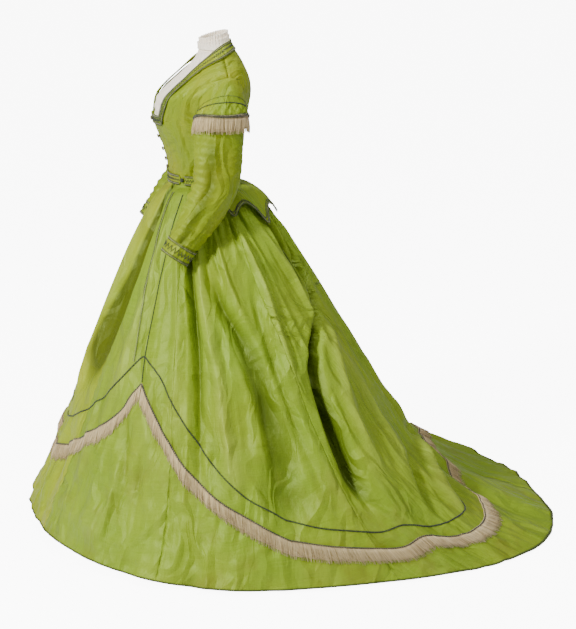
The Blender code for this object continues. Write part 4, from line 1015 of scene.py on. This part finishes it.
def hang_threads(name, surface, way, first, second, long, lift, slot, mirror=False):
    """A fringe from places on a surface: its under layer, and threads that clump and sway."""
    order = np.arange(len(first))
    own = loose_hand.uniform(-1, 1, len(first))
    clumps = np.interp(order / CLUMP, order, loose_hand.uniform(-1, 1, len(first)))
    drifts = np.interp(order / DRIFT, order, loose_hand.uniform(-1, 1, len(first)))
    long = long * (1 + 0.05 * clumps + 0.06 * own)
    sway = 0.0050 * clumps + 0.0050 * drifts + 0.0020 * own
    top = surface(first, second)
    down = 0.02 * long / np.linalg.norm(surface(first, second + 0.02) - top, axis=-1)
    aside = 0.6 * sway / np.linalg.norm(surface(first + 0.6, second) - top, axis=-1)
    for layer, reach, every in (("under", 0.84, 3), ("threads", 1.0, 1)):
        t = np.linspace(0, 1, 4)[None, :]
        u = first[::every, None] + aside[::every, None] * t * t
        v = second[::every, None] + down[::every, None] * reach * t
        points, outs = surface(u, v), way(u, v)
        if mirror:
            points, outs = mirrored(points), mirrored(outs)
        if layer == "under":
            sheet = (points + outs * lift).transpose(1, 0, 2), outs.transpose(1, 0, 2)
            sew_sheet(f"{name}_{layer}", sheet, 0.0006, fringe_silk, slot, name)
        else:
            arch = (0.0014 + 0.0010 * own[:, None]) * np.sin(np.pi * t * 0.8)
            lines = points + outs * (lift + 0.0008 + arch)[..., None]
            mesh = cord_mesh(f"{name}_{layer}", lines, outs, THREAD_RADII)
            sew_on(f"{name}_{layer}", mesh, fringe_silk, slot)


# The epaulettes: a cap of the silk laid over the top of each sleeve, drawn up in puckered
# diamonds between lines of dark braid, with a fringe from under its lower edge.
EPAULETTE_TURN = 104
DIAMONDS_ROUND, DIAMONDS_DOWN = 9, 11


def epaulette_drop(turn):
    return 0.090 + 0.035 * np.cos(np.radians(turn))


def on_epaulette(turn, fraction, side, lift):
    """Places on the epaulette, from its top to its lower edge, and the ways out there."""
    share = fraction * epaulette_drop(turn)
    return on_sleeve(turn, share, side, 0.0022 + 0.009 * fraction * fraction + lift)


for side, _ in SIDES:
    turn = np.linspace(-EPAULETTE_TURN, EPAULETTE_TURN, 151)[None, :]
    fraction = np.linspace(0, 1, 37)[:, None]
    puckered = rises(fraction, 0.66, 0.06) * falls(fraction, 0.93, 0.06)
    slant = np.radians(turn * DIAMONDS_ROUND)
    diamonds = np.abs(np.sin(slant + fraction * DIAMONDS_DOWN))
    diamonds = diamonds * np.abs(np.sin(slant - fraction * DIAMONDS_DOWN))
    puffs = puckered * (0.0034 * np.sqrt(diamonds) - 0.0006)
    cap = sew_sheet(f"epaulette_{side}_silk", on_epaulette(turn, fraction, side, puffs), 0.0009,
                    bodice_green, "green_silk", f"epaulette_{side}")
    turn = np.linspace(-EPAULETTE_TURN + 0.5, EPAULETTE_TURN - 0.5, 260)
    for line, fraction, width, loops, cord in (("seam", 0.50, 0.0012, 0.0048, CORD * 0.7),
                                               ("upper", 0.66, 0.0034, 0.0110, 0.0009)):
        sew_chain(f"epaulette_{side}_{line}", on_epaulette(turn, fraction, side, 0.0004),
                  "green_silk", width=width, loops=loops, cord=cord)
    head = on_epaulette(turn, 0.95, side, 0.0022)
    sew_gimp(f"epaulette_{side}_lower", head, 0.0086, "fringe_thread", loops=0.0036)
    sew_chain(f"epaulette_{side}_twist", head, "fringe_thread", width=0.0030, lift=0.0012)
    turn = np.linspace(-EPAULETTE_TURN + 1, EPAULETTE_TURN - 1, 150)
    hang_threads(f"epaulette_fringe_{side}", sleeve_form, sleeve_out, turn,
                 0.93 * epaulette_drop(turn), 0.052, 0.0098, "fringe_thread", side == "right")

# The lace: cream cotton net with a worked edge, basted inside the neckline. The chest fill
# lies in fine gathers, and the collar stands round the neck in two rows of small frills.
lace, tree, shader, places = new_material("cream_lace")
net, sprigs = [add_node(tree, "ShaderNodeTexVoronoi", {
    "Vector": stretched(tree, places["UV"], scale, turn), "Scale": 1.0, "Randomness": loose,
}).outputs[0] for scale, turn, loose in (((520, 520, 1), 0.0, 0.25), ((105, 130, 1), 0.5, 0.6))]
worked = ranged(tree, sprigs, 0.30, 0.42, 1.0, 0.0)
holes = product(tree, ranged(tree, net, 0.18, 0.40, 1.0, 0.0),
                ranged(tree, worked, 0.0, 1.0, 1.0, 0.15))
# The lace glows faintly cream: painted light, which keeps it bright where it lies in shade inside
# the neckline.
set_inputs(shader, {
    "Base Color": mixed(tree, holes, (0.98, 0.89, 0.74, 1), (0.58, 0.48, 0.35, 1)),
    "Normal": relief(tree, (holes, 0.5, -0.0006), (worked, 0.6, 0.0008)), "Roughness": 0.85,
    "Emission Color": (1.0, 0.90, 0.72, 1), "Emission Strength": 0.32})
LACE_FILL = [
    # height, half_angle
    (0.150, 30), (0.180, 36), (0.220, 39), (0.260, 41), (0.290, 48), (0.315, 62), (0.334, 82),
    (0.350, 98), (0.362, 108),
]
FILL_BEHIND = 0.0062
height = np.linspace(0.150, 0.368, 90)[:, None]
angle = along_table(LACE_FILL, height)[0] * np.linspace(-1, 1, 141)[None, :]
pleats = np.sin(np.radians(angle * 24) + 1.5 * np.sin(height * 60)) * 0.0013
tucks = 0.0012 * np.sin(height * 260 + np.radians(angle) * 4) * falls(height, 0.30, 0.1)
fill = sew_sheet("lace_chest_fill_net", on_torso(angle, height, pleats + tucks - FILL_BEHIND),
                 0.0008, lace, "lace_thread", "lace_chest_fill")
COLLAR_FOOT = 0.3635
COLLAR_TOP = 0.392
COLLAR_RISE_BEHIND = 0.022


def on_collar(angle, fraction, drop, lift):
    """Places on a frill, from its foot to its scalloped edge, and the ways out there."""
    top = COLLAR_TOP + COLLAR_RISE_BEHIND * ((1 - np.cos(np.radians(angle))) / 2) - drop
    scallop = 0.0022 * np.abs(np.sin(np.radians(angle * 17)))
    height = COLLAR_FOOT + (top - COLLAR_FOOT) * fraction + scallop * (fraction > 0.99)
    frill = (0.0024 * np.sin(np.radians(angle * 31) + 1.3 * np.sin(np.radians(angle * 5)))
             + 0.0010 * np.sin(np.radians(angle * 53)))
    return on_torso(angle, height, frill * fraction ** 1.5 + lift)


for frill, drop, lift, *nodes in (("lace_collar_frill", 0.0, -0.0044, "lace_collar"),
                                  ("lace_collar_under_frill", 0.012, -0.0010)):
    sheet = on_collar(np.linspace(0, 360, 361)[None, :-1], np.linspace(0, 1, 15)[:, None], drop,
                      lift)
    piece = sew_sheet(frill, sheet, 0.0006, lace, "lace_thread", *nodes, ring=True)

# The buttons and the belt's knobs: a wooden mould under a cover of silk thread, with a foot
# sewn to the silk. One is modelled, and the rest are copies of it.
covered = make_thread("olive_thread", (0.060, 0.055, 0.014, 1), (0.200, 0.170, 0.060, 1), 0.5)
bpy.ops.object.select_all(action="DESELECT")
bpy.ops.mesh.primitive_cylinder_add(
    vertices=28, radius=0.0062, depth=0.0026, location=(0, 0, 0.0031))
mould = bpy.context.object
mould.name = "covered_button"
bpy.ops.object.mode_set(mode="EDIT")
for facing, steps in ((1, ((0.0010, 0.0010), (0.0016, 0.0008), (0.0018, 0.0004))),
                      (-1, ((0.0036, 0.0), (0.0, 0.0016)))):
    shape = bmesh.from_edit_mesh(mould.data)
    for face in shape.faces:
        face.select = face.normal.z * facing > 0.9 and len(face.verts) > 4
    bmesh.update_edit_mesh(mould.data)
    for inward, height in steps:
        if inward:
            bpy.ops.mesh.inset(thickness=inward, depth=height)
        else:
            bpy.ops.mesh.extrude_region_move(TRANSFORM_OT_translate={"value": (0, 0, -height)})
bpy.ops.mesh.select_all(action="SELECT")
bpy.ops.mesh.normals_make_consistent(inside=False)
bpy.ops.object.mode_set(mode="OBJECT")
rounder = mould.modifiers.new("rounded_rim", "BEVEL")
rounder.width = 0.0005
rounder.segments = 3
bpy.ops.object.modifier_apply(modifier=rounder.name)
bpy.ops.object.transform_apply(location=True, rotation=True, scale=True)
bpy.ops.object.shade_smooth()
BUTTONS = [
    # name, angle, height, how far its foot stands off the silk, size, cover, slot
    *[(f"button_{k + 1}", 0, height, stand_off, 1.0, covered, "button_silk")
      for k, (height, stand_off) in enumerate((
          (0.171, 0.0040), (0.119, 0.0006), (0.082, 0.0006), (0.053, 0.0006), (0.029, 0.0006)))],
    ("belt_knob_left", 46.5, 0.0, 0.0032, 0.97, dark_cord, "dark_braid"),
    ("belt_knob_right", -46.5, 0.0, 0.0032, 0.97, dark_cord, "dark_braid"),
]
for name, angle, height, stand_off, size, cover, slot in BUTTONS:
    seat, out = map(Vector, on_torso(angle, height, stand_off))
    mesh = mould.data.copy()
    turned = Vector((0, 0, 1)).rotation_difference(out).to_matrix().to_4x4()
    mesh.transform(Matrix.Translation(seat) @ turned @ Matrix.Scale(size, 4))
    sew_on(name + "_covered", mesh, cover, slot, name)
bpy.data.objects.remove(mould)

# The skirt's trimming: two lines of braid down each side of the front, a scalloped line of
# dark chain round the skirt, and below it the long fringe, also laid in scallops.
FRONT_BRAID = [
    # angle, share
    (34, 0.040), (31, 0.090), (31, 0.160), (34, 0.230), (36, 0.310), (37, 0.400), (37.5, 0.480),
]
SIDE_BRAID = [
    (51, 0.045), (48, 0.090), (45.5, 0.140), (44, 0.230), (43, 0.320), (42.3, 0.390), (42.2, 0.455),
    (43.4, 0.522),
]
SCALLOP_BRAID = [
    (0.2, 0.700), (6, 0.682), (14, 0.648), (22, 0.600), (32, 0.540), (38.5, 0.482), (41.5, 0.463),
    (45, 0.472), (51, 0.500), (56, 0.542), (61, 0.590), (67, 0.648), (73, 0.705), (80, 0.760),
    (87, 0.796), (94, 0.834), (101, 0.850), (108, 0.860), (115, 0.852), (122, 0.864), (131, 0.866),
    (142, 0.858), (147, 0.832), (152, 0.795), (164, 0.752), (179.9, 0.728),
]
FRONT_FRINGE = [
    (0.1, 0.782), (5, 0.765), (12, 0.732), (20, 0.695), (28, 0.650), (35, 0.606), (39, 0.562),
    (43.4, 0.522),
]
SIDE_FRINGE = [
    (43.9, 0.524), (48, 0.560), (54, 0.616), (61, 0.682), (67, 0.728), (73, 0.768), (80, 0.804),
    (87, 0.844), (94, 0.876), (102, 0.893), (110, 0.902), (117, 0.884), (123, 0.892), (130, 0.902),
    (138, 0.898), (148, 0.886), (156, 0.862), (164, 0.822), (172, 0.792), (179.95, 0.778),
]
BRAID_STEP = 0.004
BRAID_LIFT = 0.0004
FRINGE_LONG = 0.053
SKIRT_CHAINS = [
    # name, route, width, length of a loop, thickness of the cord
    ("skirt_side_braid", SIDE_BRAID, 0.0034, 0.0110, 0.0011),
    ("skirt_scallop_braid", SCALLOP_BRAID, 0.0044, 0.0132, 0.0013),
]


def skirt_route(table, way, step):
    """Angles and shares at even steps along a route over the folded skirt."""
    keyed = [(place, *row) for place, row in enumerate(table)]
    angle, share = along_table(keyed, np.linspace(0, len(table) - 1, 900))
    length = measured(skirt_silk(angle * way, share))
    at = np.linspace(0, length[-1], int(length[-1] / step) + 1)
    return np.interp(at, length, angle) * way, np.interp(at, length, share)


def hang_skirt_fringe(side, threads, head):
    """A fringe on the skirt, from the places of its threads, and dark chain along its head."""
    angle, share = threads
    hang_threads(f"skirt_fringe_{side}", skirt_silk, skirt_way, angle, share + 0.002, FRINGE_LONG,
                 0.0012, "fringe_thread")
    angle, share = head
    line = skirt_silk(angle, share + 0.004, 0.0024), skirt_way(angle, share)
    sew_chain(f"skirt_fringe_head_{side}", line, "fringe_thread", width=0.0044, loops=0.0132,
              cord=0.0014)


for side, way in SIDES:
    route = skirt_route(FRONT_BRAID, way, BRAID_STEP)
    braid = f"skirt_front_braid_{side}"
    sew_gimp(braid, (skirt_silk(*route, BRAID_LIFT), skirt_way(*route)), 0.0092, "dark_braid",
             [braid], zigzag=0.0076, loops=0.0056)
    for part, table, width, loops, cord in SKIRT_CHAINS:
        route = skirt_route(table, way, BRAID_STEP)
        sew_chain(f"{part}_{side}", (skirt_silk(*route, BRAID_LIFT), skirt_way(*route)),
                  "dark_braid", [f"{part}_{side}"], width=width, loops=loops, cord=cord)
    hang_skirt_fringe(side, skirt_route(SIDE_FRINGE, way, THREAD_STEP),
                      skirt_route(SIDE_FRINGE, way, BRAID_STEP))
left_angle, left_share = skirt_route(FRONT_FRINGE, 1, THREAD_STEP)
front = (np.concatenate([-left_angle[::-1], left_angle]),
         np.concatenate([left_share[::-1], left_share]))
hang_skirt_fringe("front", front, front)

# The room: a plain pale floor, which the camera sees as white, and soft studio light from
# three large lamps: one over the front, one over the train and one above.
bpy.ops.object.select_all(action="DESELECT")
bpy.ops.mesh.primitive_plane_add(size=60, location=(0, 0, FLOOR - 0.0005))
ground = bpy.context.object
ground.name = "studio_floor"
pale, tree, shader, _ = new_material("pale_paper")
seen = add_node(tree, "ShaderNodeLightPath", {}).outputs["Is Camera Ray"]
set_inputs(shader, {
    "Base Color": (0.86, 0.86, 0.86, 1), "Roughness": 0.9, "Emission Color": (1, 1, 1, 1),
    "Emission Strength": ranged(tree, seen, 0.0, 1.0, 0.05, 9.0)})
ground.data.materials.append(pale)

world = bpy.data.worlds.new("soft_room")
world.use_nodes = True
set_inputs(world.node_tree.nodes["Background"], {0: (1, 1, 1, 1), 1: 0.20})
bpy.context.scene.world = world
LAMPS = [
    # name, place, where it points, size, watts
    ("lamp_over_front", (2.7, -3.9, 2.9), (0, 0.1, -0.4), 0.8, 410),
    ("lamp_over_train", (2.6, 4.0, 2.4), (0, 0.4, -0.5), 0.8, 50),
    ("lamp_above", (0.4, 0.2, 3.4), (0, 0.2, -0.5), 1.2, 80),
]
for name, place, aim, size, watts in LAMPS:
    lamp = bpy.data.lights.new(name, "AREA")
    lamp.shape = "DISK"
    lamp.size = size
    lamp.energy = watts
    stand = bpy.data.objects.new(name, lamp)
    stand.location = place
    stand.rotation_euler = (Vector(aim) - Vector(place)).to_track_quat("-Z", "Y").to_euler()
    bpy.context.scene.collection.objects.link(stand)
